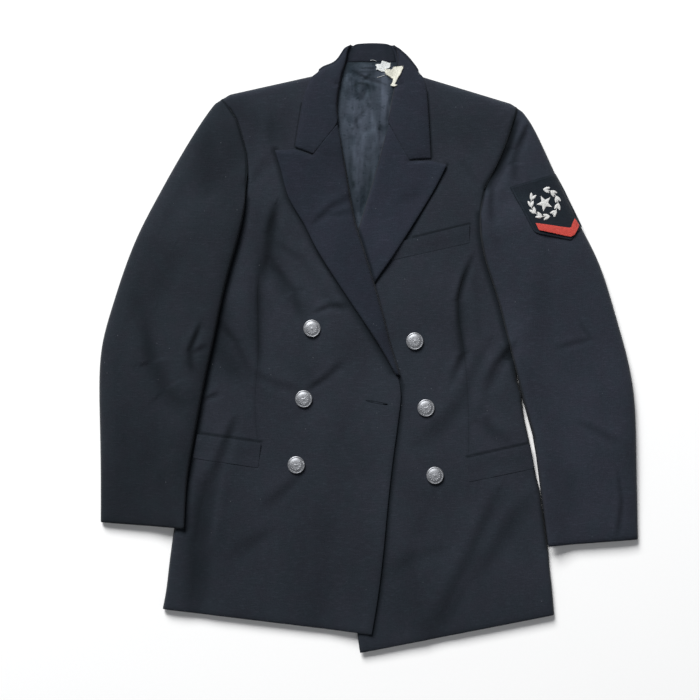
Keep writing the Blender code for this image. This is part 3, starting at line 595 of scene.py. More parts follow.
def unevenness(x, y):  # slow swells, so that no panel lies like card
    a = np.sin(x / 0.061 + 1.3 * np.sin(y / 0.093)) * np.cos(y / 0.082 + 0.4)
    b = np.sin(x / 0.027 + y / 0.041 + 2.1) * np.cos(y / 0.033 - x / 0.07)
    return (0.3 * a + 0.14 * b) * mm


def clothRelief(x, y, names):
    height, shade = foldRelief(x, y, names)
    return np.clip(height + unevenness(x, y), -1.9 * mm, 4.8 * mm), shade


def rimOf(piece):  # the outline of the upper surface in plan, as pairs of points
    sides = {}
    for face in piece.data.polygons:
        for key in face.edge_keys:
            sides.setdefault(key, []).append(face.normal.z > 0.35)
    points = pointsOf(piece)[:, :2]
    rows = [key for key, ups in sides.items() if len(ups) == 2 and ups[0] != ups[1]]
    return np.array([(points[i], points[j]) for i, j in rows])


def outerRim(piece):  # a turn inside the piece is no edge
    surface = Surface(piece)
    kept = []
    for start, end in rimOf(piece):
        middle, along = (start + end) / 2, (end - start) / max(np.linalg.norm(end - start), 1e-9)
        sides = [surface.height(*(middle + side * np.array([-along[1], along[0]]) * 3 * mm), 0.0) for side in (-1, 1)]
        if min(sides) < 5 * mm or abs(sides[0] - sides[1]) > 4 * mm:
            kept.append((start, end))
    return np.array(kept)


def distanceTo(points, segments):
    best = np.full(len(points), 1.0)
    for start, end in segments:
        along = end - start
        length = max(float(along @ along), 1e-12)
        share = np.clip((points - start) @ along / length, 0, 1)
        near = points - start - share[:, None] * along
        best = np.minimum(best, np.hypot(near[:, 0], near[:, 1]))
    return best


flushSeams = [[(-40.5, 299.5), (-74, 258.2)], [(26.5, 299.5), (54, 250.2)]]  # collar to lapel: no step, a fine line


def withoutFlush(rim):  # the free edges of a piece only
    kept = []
    for start, end in rim:
        middle = (start + end) / 2
        if all(distanceTo(middle[None, :], segmentsOf(line))[0] > 3.4 * mm for line in flushSeams):
            kept.append((start, end))
    return np.array(kept)


def segmentsOf(line):
    places = np.array(line) * mm
    return list(zip(places[:-1], places[1:]))


def leftOf(spot, segments):  # the direction to the left of the nearest part of a line
    start, end = min(segments, key=lambda pair: distanceTo(spot[None, :], [pair])[0])
    along = (end - start) / np.linalg.norm(end - start)
    return np.array([-along[1], along[0]])


def roundOff(away, width):  # 0 at an edge and 1 well inside, steep at the edge like a soft roll
    inside = 1 - np.clip(away / (width * mm), 0, 1)
    return np.sqrt(np.maximum(1 - inside**2, 0))


# how full each panel lies, in mm: height and width of the soft roll along its edges
fullness = {
    "left_front": (1.8, 9),
    "right_front": (2.0, 9),
    "left_lapel": (1.7, 7),
    "right_lapel": (2.0, 8),
    "collar": (1.8, 8),
    "right_top_sleeve": (9.5, 24),
    "left_top_sleeve": (9.5, 24),
}
armholes = {  # from the underarm to the shoulder
    "right_top_sleeve": [(-163, 198), (-163, 220), (-163, 258), (-176, 304), (-198, 336)],
    "left_top_sleeve": [(148, 178), (155, 211), (171, 241), (187, 281), (200, 324)],
}
cuffs = {
    "right_top_sleeve": [(-244, -241), (-358, -233)],
    "left_top_sleeve": [(239, -265), (361, -256)],
}
# edges that stand off the cloth beneath, with the piece on the left-hand side: lift and tuck in mm
raisedEdges = {
    "right_top_sleeve": (
        [(-244, -241), (-241, -180), (-232, -127), (-223, -77), (-215, -36), (-204, 14), (-194, 64), (-184, 104),
         (-175, 135), (-167, 168), (-163, 198)], 3.6, 6.0),
    "left_top_sleeve": (
        [(148, 178), (149, 147), (155, 116), (165, 85), (175, 53), (184, 15), (195, -27), (208, -78), (220, -120),
         (228, -178), (239, -265)], 3.6, 6.0),
    "right_lapel": (
        [(-125, 263), (-117, 238), (-107, 200), (-86, 166), (-69, 131), (-37, 81), (-13, 45), (11, 9), (28, -20),
         (33, -30)], 3.2, 4.5),
    "left_lapel": (
        [(-28, 9), (-10, 53), (10, 89), (26, 112), (42, 136), (66, 174), (89, 212), (105, 244)], 1.8, 3.0),
    "right_front": (
        [(5, -383), (14, -328), (21, -269), (27, -204), (34, -144), (41, -92), (43, -50)], 1.6, 3.0),
}


def liftEdge(piece, node):  # before the panel is refined: one edge is raised and its underside drawn in
    if node not in raisedEdges:
        return
    line, lift, tuck = raisedEdges[node]
    points = pointsOf(piece)
    normals = np.array([v.normal.z for v in piece.data.vertices])
    segments = segmentsOf(line)
    away = distanceTo(points[:, :2], segments)
    rise = lift * mm * smoothStep(1 - away / (11 * mm))
    points[:, 2] += np.where(normals > 0, rise, 0)
    for i in np.nonzero((normals <= 0) & (away < 3.2 * mm))[0]:
        points[i, :2] += leftOf(points[i, :2], segments) * tuck * mm
    setPoints(piece, points)


# painted shade under the edges of what lies over a panel, and along some folds, the pocket mouths, the buttonhole and
# a sleeve's own roll: points, and its width in mm
coveredBy = {
    "right_front": [
        (raisedEdges["right_top_sleeve"][0], 8.0),
        (armholes["right_top_sleeve"][:4] + [(-185, 319)], 3.2),
        (raisedEdges["right_lapel"][0], 9.0),
        (raisedEdges["right_lapel"][0][5:], 13.0),
        ([(-89, 325), (-92, 305), (-98, 268)], 3.2),
        # painted shade along the buttonhole's slit
        ([(-4, -70.5), (26, -76)], 1.5),
        ([(-228, -113.5), (-143, -125.5)], 3.6),
    ],
    "left_front": [
        (raisedEdges["left_top_sleeve"][0], 9.0),
        (armholes["left_top_sleeve"], 3.4),
        ([(196, 305), (186, 268), (173, 240), (157, 215)], 9.0),
        (raisedEdges["left_lapel"][0], 4.0),
        (raisedEdges["right_front"][0], 8.0),
        ([(78, 340), (80, 321), (82, 286), (84, 254)], 3.8),
        ([(-28, 204), (-5.7, 120), (8, 74), (21.5, 21), (43, -45)], 5.0),
        ([(60, 147.5), (135, 165.5)], 3.2),
        ([(131, -145.5), (216, -126.5)], 3.4),
    ],
    "left_lapel": [([(-28, 214), (-17, 168), (-5, 131), (10, 81)], 4.5),],
    "right_top_sleeve": [(armholes["right_top_sleeve"], 3.0)],
    "left_top_sleeve": [
        (armholes["left_top_sleeve"], 3.0),
        ([(194, 300), (186, 268), (173, 240), (157, 215)], 8.0),
        (raisedEdges["left_top_sleeve"][0][:9], 3.0),
    ],
}


def keepAttribute(piece, name, values):
    layer = piece.data.attributes.new(name, "FLOAT", "POINT")
    layer.data.foreach_set("value", np.ascontiguousarray(values, dtype=np.float32))


def keepShade(piece, node, rim, crease=None):  # what the material needs to know of folds and edges, to paint shade along them
    plan = pointsOf(piece)[:, :2]
    keepAttribute(piece, "edgeAway", np.clip(distanceTo(plan, rim) / mm, 0, 30))
    cover = np.full(len(plan), 30.0)
    for line, width in coveredBy.get(node, []):
        cover = np.minimum(cover, distanceTo(plan, segmentsOf(line)) / mm / width)
    keepAttribute(piece, "coverAway", cover)
    keepAttribute(piece, "crease", np.zeros(len(plan)) if crease is None else crease)


def neighbourMean(piece):  # a function from heights to the mean height next to each point
    pairs = np.array([edge.vertices[:] for edge in piece.data.edges])
    count = np.bincount(pairs.ravel(), minlength=len(piece.data.vertices))

    def mean(heights):
        total = np.zeros(len(heights))
        np.add.at(total, pairs[:, 0], heights[pairs[:, 1]])
        np.add.at(total, pairs[:, 1], heights[pairs[:, 0]])
        return total / count

    return mean


def soften(piece, rim, rounds, margin):  # heights are evened out, less so near the edges
    points = pointsOf(piece)
    mean = neighbourMean(piece)
    weight = smoothStep(distanceTo(points[:, :2], rim) / (margin * mm)) * 0.9
    for _ in range(rounds):
        points[:, 2] += weight * (mean(points[:, 2]) - points[:, 2])
    setPoints(piece, points)


def meetSeam(piece, other, line, margin=12):  # the piece comes down or up to the cloth it is sewn to
    own, beyond = Surface(piece), Surface(other)
    start, end = np.array(line)
    length = math.hypot(*(end - start))
    along = (end - start) / length
    across = np.array([-along[1], along[0]])
    if own.height(*(((start + end) / 2 - across * 4) * mm), -1) > 0:
        across = -across
    shares = np.linspace(0.04, 0.96, 12)
    steps = []
    for share in shares:
        spot = start + share * (end - start)
        mine = own.height(*((spot + across * 2.5) * mm), 0)
        theirs = beyond.height(*((spot - across * 2.5) * mm), 0)
        steps.append(theirs - mine if mine and theirs else 0)
    points = pointsOf(piece)
    share = np.clip((points[:, :2] / mm - start) @ along / length, 0, 1)
    away = distanceTo(points[:, :2], segmentsOf(line)) / mm
    points[:, 2] += np.interp(share, shares, steps) * (1 - smoothStep(away / margin))
    setPoints(piece, points)


def closeSeam(piece, line):  # edges on both sides of a seam come together on its line
    points = pointsOf(piece)
    start, end = np.array(line[0]) * mm, np.array(line[1]) * mm
    length = np.linalg.norm(end - start)
    along = (end - start) / length
    across = np.array([-along[1], along[0]])
    for i in range(len(points)):
        share = (points[i, :2] - start) @ along / length
        off = (points[i, :2] - start) @ across
        if -0.12 < share < 1.03 and abs(off) < 3.2 * mm:
            points[i, :2] -= across * (off - math.copysign(0.12 * mm, off))
    setPoints(piece, points)


def lowerCollar(piece):  # the leaf sinks towards the back of the neck
    points = pointsOf(piece)
    x, y, z = points.T
    sink = 0.34 * smoothStep((y / mm - 335) / 55) * smoothStep((z - 2.6 * mm) / (2 * mm))
    points[:, 2] = z - (z - 3.2 * mm) * sink
    setPoints(piece, points)


def closeArmhole(piece, node, reach):  # a sleeve's top reaches the body, so that the seam is shut
    side = 1 if node.startswith("right") else -1
    points = pointsOf(piece)
    line = segmentsOf(armholes[node.replace("under", "top")][1:])
    for i in np.nonzero(distanceTo(points[:, :2], line) < 2.6 * mm)[0]:
        points[i, :2] -= leftOf(points[i, :2], line) * side * reach * mm
    setPoints(piece, points)


def shapeCloth(piece, names, node, rim):
    points = pointsOf(piece)
    x, y, z = points.T
    plan = points[:, :2]
    free = smoothStep((z - 3.6 * mm) / (3.2 * mm))  # edges that stand on the floor or the back stay
    away = distanceTo(plan, rim)
    height, width = fullness.get(node, (0.0, 9))
    full = height * mm * roundOff(away, width)
    rise, crease = clothRelief(x, y, names)
    if node in armholes:
        head = distanceTo(plan, segmentsOf(armholes[node][1:]))
        cuff = distanceTo(plan, segmentsOf(cuffs[node]))
        full = full * (0.42 + 0.58 * smoothStep(head / (70 * mm))) * (0.3 + 0.7 * smoothStep(cuff / (130 * mm)))
        inner = distanceTo(plan, segmentsOf(raisedEdges[node][0]))
        withBody = 1 - smoothStep(inner / (24 * mm))
        rise = rise * (1 - withBody) + clothRelief(x, y, ["front"])[0] * withBody
    points[:, 2] = z + (rise + full) * free
    setPoints(piece, points)
    keepShade(piece, node, rim, crease)


# panels of the jacket

seamsOf = {"collar": (0, 1), "right_lapel": (0,), "left_lapel": (1,)}
panels = {
    # node: relief tables, material key, flat width, flat length, flat area, what it lies on, rounds of refining
    "left_front": (["front", "body"], "leftFront", 0.31, 0.79, 0.171, ["back"], 2),
    "right_front": (["front", "body"], "rightFront", 0.33, 0.77, 0.172, ["left_front", "back"], 2),
    "left_lapel": (["front"], "leftFacing", 0.14, 0.30, 0.0158, ["left_front"], 3),
    "right_lapel": (["front"], "rightFacing", 0.16, 0.34, 0.0187, ["right_front"], 3),
    "collar": (["front"], "facing", 0.075, 0.40, 0.0182, ["right_front", "left_front"], 3),
    "right_top_sleeve": (["rightSleeve"], "rightSleeve", 0.20, 0.60, 0.073, ["right_under_sleeve"], 3),
    "left_top_sleeve": (["leftSleeve"], "leftSleeve", 0.20, 0.62, 0.0775, ["left_under_sleeve"], 3),
}
dartLines = {
    "rightFront": [[(-139, 101), (-147, 84), (-147, 33), (-147, -13), (-151, -74), (-147, -126)]],
    "leftFront": [[(138, 112), (124, 84), (120, 57), (124, 17), (128, -9), (133, -70), (134, -144)]],
    "back": [
        [(6, 346), (5, 200), (5, 0), (5, -200), (4, -370)],
        [(-120, 250), (-112, 120), (-104, 0), (-118, -180), (-130, -360)],
        [(126, 250), (118, 120), (110, 0), (124, -180), (136, -362)],
    ],
}

materials = {
    "rightFront": woolMaterial("rightFrontWool", woolLook, dartLines["rightFront"]),
    "leftFront": woolMaterial("leftFrontWool", woolLook, dartLines["leftFront"]),
    "facing": woolMaterial("facingWool", facingLook, tilt=-0.7),
    "rightSleeve": woolMaterial("rightSleeveWool", shadedRightSleeveLook, tilt=0.7),
    "leftSleeve": woolMaterial("litLeftSleeveWool", litLeftSleeveLook, tilt=1.1),
    "back": woolMaterial("backWool", backLook, dartLines["back"]),
    "rightFacing": woolMaterial("rightFacingWool", shadedRightFacingLook, tilt=-0.7),
    "leftFacing": woolMaterial("litLeftFacingWool", litLeftFacingLook, tilt=-0.4),
    "stand": woolMaterial("shadedStandWool", shadedStandLook, tilt=-0.7),
    "welt": woolMaterial("weltWool", dict(woolLook, edge=1.5, edgeShade=0.5)),
    "satin": satinMaterial(satinLook),
    "silver": metalMaterial(metalLook),
}
made = {}


def addPiece(piece, material, node):
    piece.data.materials.clear()
    piece.data.materials.append(material)
    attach(piece, "root")
    if node:
        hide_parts(node)
    made[piece.name] = piece
    return piece


def makePanels():
    for node, (names, key, width, length, area, under, rounds) in panels.items():
        piece = copyOfSolid(node, node + "_cloth")
        rim = withoutFlush(outerRim(piece)) if node in seamsOf else rimOf(piece)
        liftEdge(piece, node)
        for seam in seamsOf.get(node, ()):
            closeSeam(piece, flushSeams[seam])
        if node in armholes:
            closeArmhole(piece, node, 1.5)
        refineCloth(piece, rounds)
        if rounds == 2:
            refineUpper(piece)
        if node == "collar":
            soften(piece, rim, 40, 3.0)
            lowerCollar(piece)
        shapeCloth(piece, names, node, rim)
        if node == "collar":
            meetSeam(piece, made["right_lapel_cloth"], flushSeams[0])
            meetSeam(piece, made["left_lapel_cloth"], flushSeams[1])
            soften(piece, rim, 10, 3.0)
        addPiece(piece, materials[key], node)
    print("panels")


flatPieces = {  # node: material key, flat width, flat length, flat area
    "back": ("back", 0.54, 0.76, 0.35),
    "right_under_sleeve": ("back", 0.20, 0.58, 0.06),
    "left_under_sleeve": ("back", 0.20, 0.60, 0.068),
}


def makeFlatPieces():
    for node, (key, width, length, area) in flatPieces.items():
        piece = copyOfSolid(node, node + "_cloth")
        rim = rimOf(piece)
        if "sleeve" in node:
            closeArmhole(piece, node, 1.5)
        makeActive(piece)
        startEditing()
        bpy.ops.mesh.dissolve_limited(angle_limit=math.radians(1))
        stopEditing()
        bevelEdges(piece, 0.0011, 3, 60)
        smoothWithin(piece, 40)
        keepShade(piece, node, rim)
        addPiece(piece, materials[key], node)
    print("back and under sleeves")


# the lining's long pleats and the crushed part under the label
liningFolds = strokes(
    (4.5, 2.0, 10, 300, 14, 250, 4, 200, -9, 140), (4.0, 1.2, -22, 330, -18, 270, -14, 215),
    (2.4, -1.2, -28, 372, -8, 360, 16, 352), (2.6, 1.0, -26, 352, -10, 340, -6, 332),
    (3.2, -1.2, -10, 366, -2, 344, -12, 326), (3.4, 0.9, 12, 332, 24, 316, 28, 300),
    (3.0, -0.9, -24, 300, -6, 288, 8, 296), (3.0, -0.8, -16, 262, 2, 246),
)
# painted shade at both ends of the collar stand
standShades = strokes(
    (4, 0.3, 24, 403, 26, 386), (4, 0.6, 34, 404, 36, 385), (4, 0.5, -21, 404, -26, 385),
)
# the lining's creases as painted shade, and painted highlight below zero
liningShades = strokes(
    (8, 0.4, -42, 345, -46, 300, -42, 250, -33, 200, -22, 160), (6, 0.4, 37, 345, 34, 300, 27, 250, 15, 205, 3, 165),
    (5, -0.5, -4, 325, -8, 270, -13, 215, -12, 150), (5, -0.3, 16, 346, 21, 330, 18, 300),
    (5, -0.2, -24, 340, -26, 300), (1.6, 0.5, -26, 381, 6, 381, 36, 380), (1.0, 0.5, -5, 378.5, 9, 378.5),
    (1.2, 0.8, -14, 376, -8, 373.8, 9, 373.8), (1.0, -0.4, -20, 372.5, -12, 371, 2, 371.5),
    (1.1, 0.6, -10, 369, 11, 369), (1.0, -0.5, -12, 367.5, -1, 364), (5, 0.35, -31, 376, -34, 350, -35, 325),
    (2.1, 0.9, -7, 358, -2, 362, 4, 366), (1.9, 0.95, -21, 349, -15, 353, -3, 353.5, 2, 346),
    (1.3, 0.5, -27, 381, -12, 369, -6, 361), (1.3, -0.5, -18, 361, -10, 357), (1.9, 0.55, 1.5, 346, 2, 330),
    (1.6, 0.4, 9, 358, 26, 350), (2.6, 0.7, 0, 327, 0.5, 321), (1.6, 0.5, -3, 321, -11, 311, -20, 300),
    (1.6, -0.4, 1, 318, -7, 308, -16, 297), (3.0, 0.5, 26, 330, 24, 316, 21, 304),
    (2.0, 0.4, -2, 296, -10, 282, -17, 267), (2.4, 0.7, -22, 296, -21, 291), (2.2, 0.6, 16, 298, 17, 293),
    (2.0, -0.35, 8, 300, 11, 280, 4, 262), (2.0, 0.6, -20, 222, -19, 214), (2.4, 0.35, -24, 262, -25, 235, -20, 205),
    (2.4, 0.4, 4, 240, 0, 205, -6, 175),
)


def makeLining():
    piece = copyOfSolid("back_lining", "back_lining_satin")
    rim = rimOf(piece)
    refineCloth(piece, 4)
    points = pointsOf(piece)
    x, y, z = points.T
    top = smoothStep((z - 3.9 * mm) / (0.5 * mm))
    rows = np.array([128, 165, 210, 260, 310, 352, 382]) * mm
    edge = np.interp(y, rows, np.array([1, 12, 24, 36, 41, 36, 31]) * mm)
    centre = np.interp(y, rows, np.array([-11, -12, -11, -9, -6, -3, 5]) * mm)
    inside = smoothStep((edge * 0.92 - np.abs(x - centre)) / (9 * mm)) * smoothStep((0.381 - y) / 0.006)
    crush = 0.5 * np.sin(x / 0.0095 + 1.6 * np.sin(y / 0.031)) * np.cos(y / 0.044 + x / 0.018)
    crush = crush + 0.25 * np.sin(x / 0.0052 - y / 0.0155 + 1.2 * np.sin(y / 0.019))
    relief = (crush + 0.6) * mm
    for line, half, height in liningFolds:
        relief += height * mm * strokeAt(x, y, line, half, 0.1, 0.3)
    points[:, 2] = z + relief * top * inside
    setPoints(piece, points)
    # painted shade and highlight: darker towards the bottom, then along the creases listed above
    drawn = 0.46 * smoothStep((290 - y / mm) / 70)
    for line, half, dark in liningShades:
        drawn += dark * strokeAt(x, y, line, half, 0.12, 0.3)
    keepShade(piece, "back_lining", rim, np.clip(drawn, -0.7, 1.0))
    addPiece(piece, materials["satin"], "back_lining")
    stand = copyOfSolid("collar_stand", "collar_stand_cloth")
    rim = rimOf(stand)
    refineCloth(stand, 3)
    x, y, z = pointsOf(stand).T
    # painted shade on the stand
    dim = np.zeros(len(x))
    for line, half, dark in standShades:
        dim += dark * np.exp(-((beside(x, y, line)[0] / (half * mm)) ** 2))
    keepShade(stand, "collar_stand", rim, np.clip(dim, 0, 1))
    addPiece(stand, materials["stand"], "collar_stand")
    print("lining and stand")


def layOver(piece, node):  # follows the finished cloth as it left the solid beneath
    solid = Surface(frame["nodes"][node])
    cloth = Surface(made[node + "_cloth"])
    points = pointsOf(piece)
    for i, (x, y, z) in enumerate(points):
        points[i, 2] = z + cloth.height(x, y) - solid.height(x, y)
    setPoints(piece, points)


weltTops = {
    "breast_welt": [(34, 140), (135, 165)],
    "left_hip_welt": [(131, -147), (216, -128)],
    "right_hip_welt": [(-228, -115), (-143, -127)],
}


def tiltWelt(piece, node):
    points = pointsOf(piece)
    away = distanceTo(points[:, :2], segmentsOf(weltTops[node])) / mm
    points[:, 2] += (0.6 - 1.7 * smoothStep(away / 24)) * mm
    setPoints(piece, points)


def makeWelts():
    for node in weltTops:
        under = "right_front" if node.startswith("right") else "left_front"
        piece = copyOfSolid(node, node + "_cloth")
        refineCloth(piece, 4)
        layOver(piece, under)
        tiltWelt(piece, node)
        # painted shade along the welt's top edge, for the pocket mouth
        keepShade(piece, node, segmentsOf(weltTops[node]))
        addPiece(piece, materials["welt"], node)
    print("welts")


# buttons: domed metal with a ring of beads, a star and two sprigs

buttonLook = {
    "radius": 10.3,
    "steps": [  # rise in mm and growth of each ring, from the shank to the top
        (0.0, 0.3), (1.9, 1.0), (0.05, 3.3), (0.7, 1.12), (0.75, 1.0), (0.45, 0.94), (-0.35, 0.94), (0.55, 0.86),
        (0.55, 0.8), (0.35, 0.7), (0.1, 0.45),
    ],
    "beads": 44,
    "beadRadius": 0.52,
    "beadRing": 9.7,
    "starRadius": 3.9,
}


def addDome(name, look):
    deselectAll()
    first = look["steps"][0][1] * look["radius"]
    bpy.ops.mesh.primitive_circle_add(vertices=48, radius=first * mm, fill_type="NGON", location=(0, 0, 0))
    dome = bpy.context.object
    dome.name = name
    startEditing("FACE")
    for rise, scale in look["steps"][1:]:
        bpy.ops.mesh.extrude_region_move(TRANSFORM_OT_translate={"value": (0, 0, rise * mm)})
        bpy.ops.transform.resize(value=(scale, scale, 1), center_override=(0, 0, 0))
    bpy.ops.mesh.select_all(action="SELECT")
    bpy.ops.mesh.normals_make_consistent(inside=False)
    stopEditing()
    bevelEdges(dome, 0.00018, 2, 24)
    smoothWithin(dome, 42)
    return dome


def addStar(radius, waist, thick, name):  # a five-pointed star with raised ridges
    deselectAll()
    bpy.ops.mesh.primitive_circle_add(vertices=10, radius=radius * mm, fill_type="NGON", location=(0, 0, 0))
    star = bpy.context.object
    star.name = name
    points = pointsOf(star)
    for i in range(10):
        reach = radius if i % 2 == 0 else waist
        angle = math.pi / 2 + i * math.pi / 5
        points[i] = (reach * mm * math.cos(angle), reach * mm * math.sin(angle), 0)
    setPoints(star, points)
    startEditing("FACE")
    bpy.ops.mesh.extrude_region_move(TRANSFORM_OT_translate={"value": (0, 0, thick * 0.45 * mm)})
    bpy.ops.mesh.poke(offset=thick * 0.55 * mm)
    bpy.ops.mesh.select_all(action="SELECT")
    bpy.ops.mesh.normals_make_consistent(inside=False)
    stopEditing()
    return star


def addLeaf(length, width, thick, name):  # one pointed leaf lying along x
    deselectAll()
    bpy.ops.mesh.primitive_uv_sphere_add(segments=10, ring_count=6, radius=1.0, location=(0, 0, 0))
    leaf = bpy.context.object
    leaf.name = name
    points = pointsOf(leaf)
    taper = 1 - np.abs(points[:, 0]) ** 2.2 * 0.55
    points[:, 0] *= length / 2 * mm
    points[:, 1] *= width / 2 * mm * taper
    points[:, 2] *= thick * mm
    setPoints(leaf, points)
    return leaf


def copyMoved(source, name, matrix):
    piece = addObject(name, source.data.copy())
    piece.data.transform(matrix)
    return piece


def joinAll(pieces, name):
    deselectAll()
    for piece in pieces:
        piece.select_set(True)
    bpy.context.view_layer.objects.active = pieces[0]
    bpy.ops.object.join()
    pieces[0].name = name
    return pieces[0]


def onRing(radius, angle):
    return Vector((radius * mm * math.cos(angle), radius * mm * math.sin(angle), 0))


def sprigMatrices(count, radius, start, end, lean):
    places = []
    for i in range(count):
        share = i / (count - 1)
        angle = start + (end - start) * share
        for side in (-1, 1):
            turn = Matrix.Rotation(angle + math.pi / 2 * (1 if end > start else -1) + side * lean, 4, "Z")
            move = Matrix.Translation(onRing(radius + side * radius * 0.09, angle))
            places.append(move @ turn)
    return places


def makeButtons():
    look = buttonLook
    dome = addDome("buttonModel", look)
    surface = Surface(dome)
    extras = []
    deselectAll()
    bpy.ops.mesh.primitive_ico_sphere_add(subdivisions=1, radius=look["beadRadius"] * mm, location=(0, 0, 0))
    bead = bpy.context.object
    for i in range(look["beads"]):
        angle = 2 * math.pi * i / look["beads"]
        spot = onRing(look["beadRing"], angle)
        spot.z = surface.height(spot.x, spot.y)
        stretch = Matrix.Rotation(angle + 0.7, 4, "Z") @ Matrix.Diagonal((1.5, 0.8, 0.9, 1))
        extras.append(copyMoved(bead, "bead", Matrix.Translation(spot) @ stretch))
    star = addStar(look["starRadius"], look["starRadius"] * 0.42, 0.75, "star")
    layOn(star, surface, -0.0001)
    extras.append(star)
    leaf = addLeaf(2.5, 1.0, 0.34, "leaf")
    for start, end in ((-1.35, 0.75), (-1.8, -3.9)):
        for matrix in sprigMatrices(6, 6.3, start, end, 0.5):
            one = copyMoved(leaf, "leaf", matrix)
            layOn(one, surface, 0.0)
            extras.append(one)
    bpy.data.objects.remove(bead)
    bpy.data.objects.remove(leaf)
    model = joinAll([dome] + extras, "buttonModel")
    cloth = Surface(made["right_front_cloth"], made["left_front_cloth"])
    for k, node in enumerate(n for n in sorted(frame["nodes"]) if n.startswith("button_")):
        low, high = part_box(node)
        x, y = (low[0] + high[0]) / 2, (low[1] + high[1]) / 2
        around = [(x + 0.010 * math.cos(a), y + 0.010 * math.sin(a)) for a in np.linspace(0, 6.28, 12)]
        near = max(cloth.height(px, py) for px, py in around)
        seat = max(cloth.height(x, y) - 0.0002, near - 0.0016)
        tilt = Matrix.Rotation(0.35 * math.sin(k * 2.1), 4, "Z")
        piece = copyMoved(model, node + "_metal", Matrix.Translation((x, y, seat)) @ tilt)
        addPiece(piece, materials["silver"], node)
    bpy.data.objects.remove(model)
    print("buttons")


def addStrand(name, points, radius, closed=False):
    curve = bpy.data.curves.new(name, "CURVE")
    curve.dimensions = "3D"
    curve.bevel_depth = radius * mm
    curve.bevel_resolution = 2
    curve.resolution_u = 6
    spline = curve.splines.new("NURBS")
    spline.points.add(len(points) - 1)
    for point, (x, y, z) in zip(spline.points, points):
        point.co = (x * mm, y * mm, z * mm, 1)
    spline.use_cyclic_u = closed
    spline.use_endpoint_u = not closed
    spline.order_u = 4
    makeActive(addObject(name, curve))
    bpy.ops.object.convert(target="MESH")
    return bpy.context.object


# the sleeve badge

badgeLook = {
    "cloth": dict(
        woolLook, colour=(0.0096, 0.0112, 0.0156), dark=(0.0080, 0.0093, 0.0128), twillPitch=0.8, edge=1.2, border=3.3,
    ),
    "red": (0.68, 0.062, 0.044),
    "white": (0.86, 0.86, 0.84),
    "starRadius": 11.2,
    "ring": 18.2,
    "leaf": (10.4, 4.2, 0.9),
    "middle": (233.5, 191.5),
    "turn": 27.0,
}


def onBadge(matrix=Matrix.Identity(4)):
    x, y = badgeLook["middle"]
    turn = Matrix.Rotation(math.radians(badgeLook["turn"]), 4, "Z")
    return Matrix.Translation((x * mm, y * mm, 0)) @ turn @ matrix


def makeBadge():
    patch = copyOfSolid("badge_patch", "badge_patch_cloth")
    rim = rimOf(patch)
    refineCloth(patch, 3)
    layOver(patch, "left_top_sleeve")
    keepShade(patch, "badge_patch", rim)
    addPiece(patch, woolMaterial("badgeCloth", badgeLook["cloth"]), "badge_patch")
    surface = Surface(patch)
    turn = math.radians(badgeLook["turn"])
    chevron = copyOfSolid("badge_chevron", "badge_chevron_stitch")
    refineCloth(chevron, 3, corner=28)
    layOver(chevron, "left_top_sleeve")
    chevron.data.transform(Matrix.Translation((0.0006, -0.0010, 0.0003)))
    points = pointsOf(chevron)
    reach = smoothStep(1 - np.hypot(points[:, 0] / mm - 274, points[:, 1] / mm - 171) / 13)
    points[:, 0] += reach * 1.6 * mm
    points[:, 1] += reach * 3.6 * mm
    setPoints(chevron, points)
    addPiece(chevron, threadMaterial("redStitch", badgeLook["red"], 0.75, 1.2), "badge_chevron")
    star = addStar(badgeLook["starRadius"], badgeLook["starRadius"] * 0.42, 1.1, "badge_star_stitch")
    star.data.transform(onBadge())
    layOn(star, surface)
    bevelEdges(star, 0.0003, 2, 25)
    addPiece(star, threadMaterial("whiteStitchStar", badgeLook["white"], 0.6, turn), "badge_star")
    leaf = addLeaf(*badgeLook["leaf"], "leaf")
    for name, node, start, end in (
        ("badge_sprig_right_stitch", "badge_sprig_right", -1.25, 0.95),
        ("badge_sprig_left_stitch", "badge_sprig_left", -1.89, -4.09),
    ):
        leaves = []
        for matrix in sprigMatrices(5, badgeLook["ring"], start, end, 0.42):
            one = copyMoved(leaf, "leaf", onBadge(matrix))
            layOn(one, surface)
            leaves.append(one)
        stem = []
        for share in np.linspace(-0.08, 1.02, 14):
            angle = start + (end - start) * share
            spot = onBadge() @ onRing(badgeLook["ring"], angle)
            stem.append((spot.x / mm, spot.y / mm, 0.2))
        stalk = addStrand("stalk", stem, 0.45)
        layOn(stalk, surface)
        leaves.append(stalk)
        sprig = joinAll(leaves, name)
        makeActive(sprig)
        bpy.ops.object.shade_smooth()
        addPiece(sprig, threadMaterial(name + "Thread", badgeLook["white"], 0.6, turn + 1.1), node)
    bpy.data.objects.remove(leaf)
    print("badge")


# labels, loose threads and the buttonhole


labelShapes = {  # torn outlines in mm
    "neck_label": [(9.1, 378.3), (16.7, 379.4), (18.0, 383.7), (29.6, 380.1), (28.3, 374.4), (22.3, 372.3),
                   (23.4, 369.5), (17.3, 368.8), (13.0, 371.4), (10.0, 372.0), (11.3, 374.4)],
    "size_label": [(21.6, 372.3), (31.4, 371.6), (33.5, 375.1), (45.5, 375.1), (46.4, 373.1), (41.3, 363.3),
                   (34.6, 350.8), (38.5, 350.4), (35.7, 348.3), (29.2, 350.1), (32.1, 354.7), (33.1, 358.9),
                   (29.2, 361.7), (22.3, 366.0)],
}
threadLines = [[(2.4, 383.7), (6.7, 385.5), (11.3, 382.2)], [(11.3, 361.0), (16.7, 362.5), (24.0, 365.0)]]


def insideOutline(x, y, outline):
    inside = False
    for (x1, y1), (x2, y2) in zip(outline, outline[1:] + outline[:1]):
        if (y1 > y) != (y2 > y) and x < (x2 - x1) * (y - y1) / (y2 - y1) + x1:
            inside = not inside
    return inside


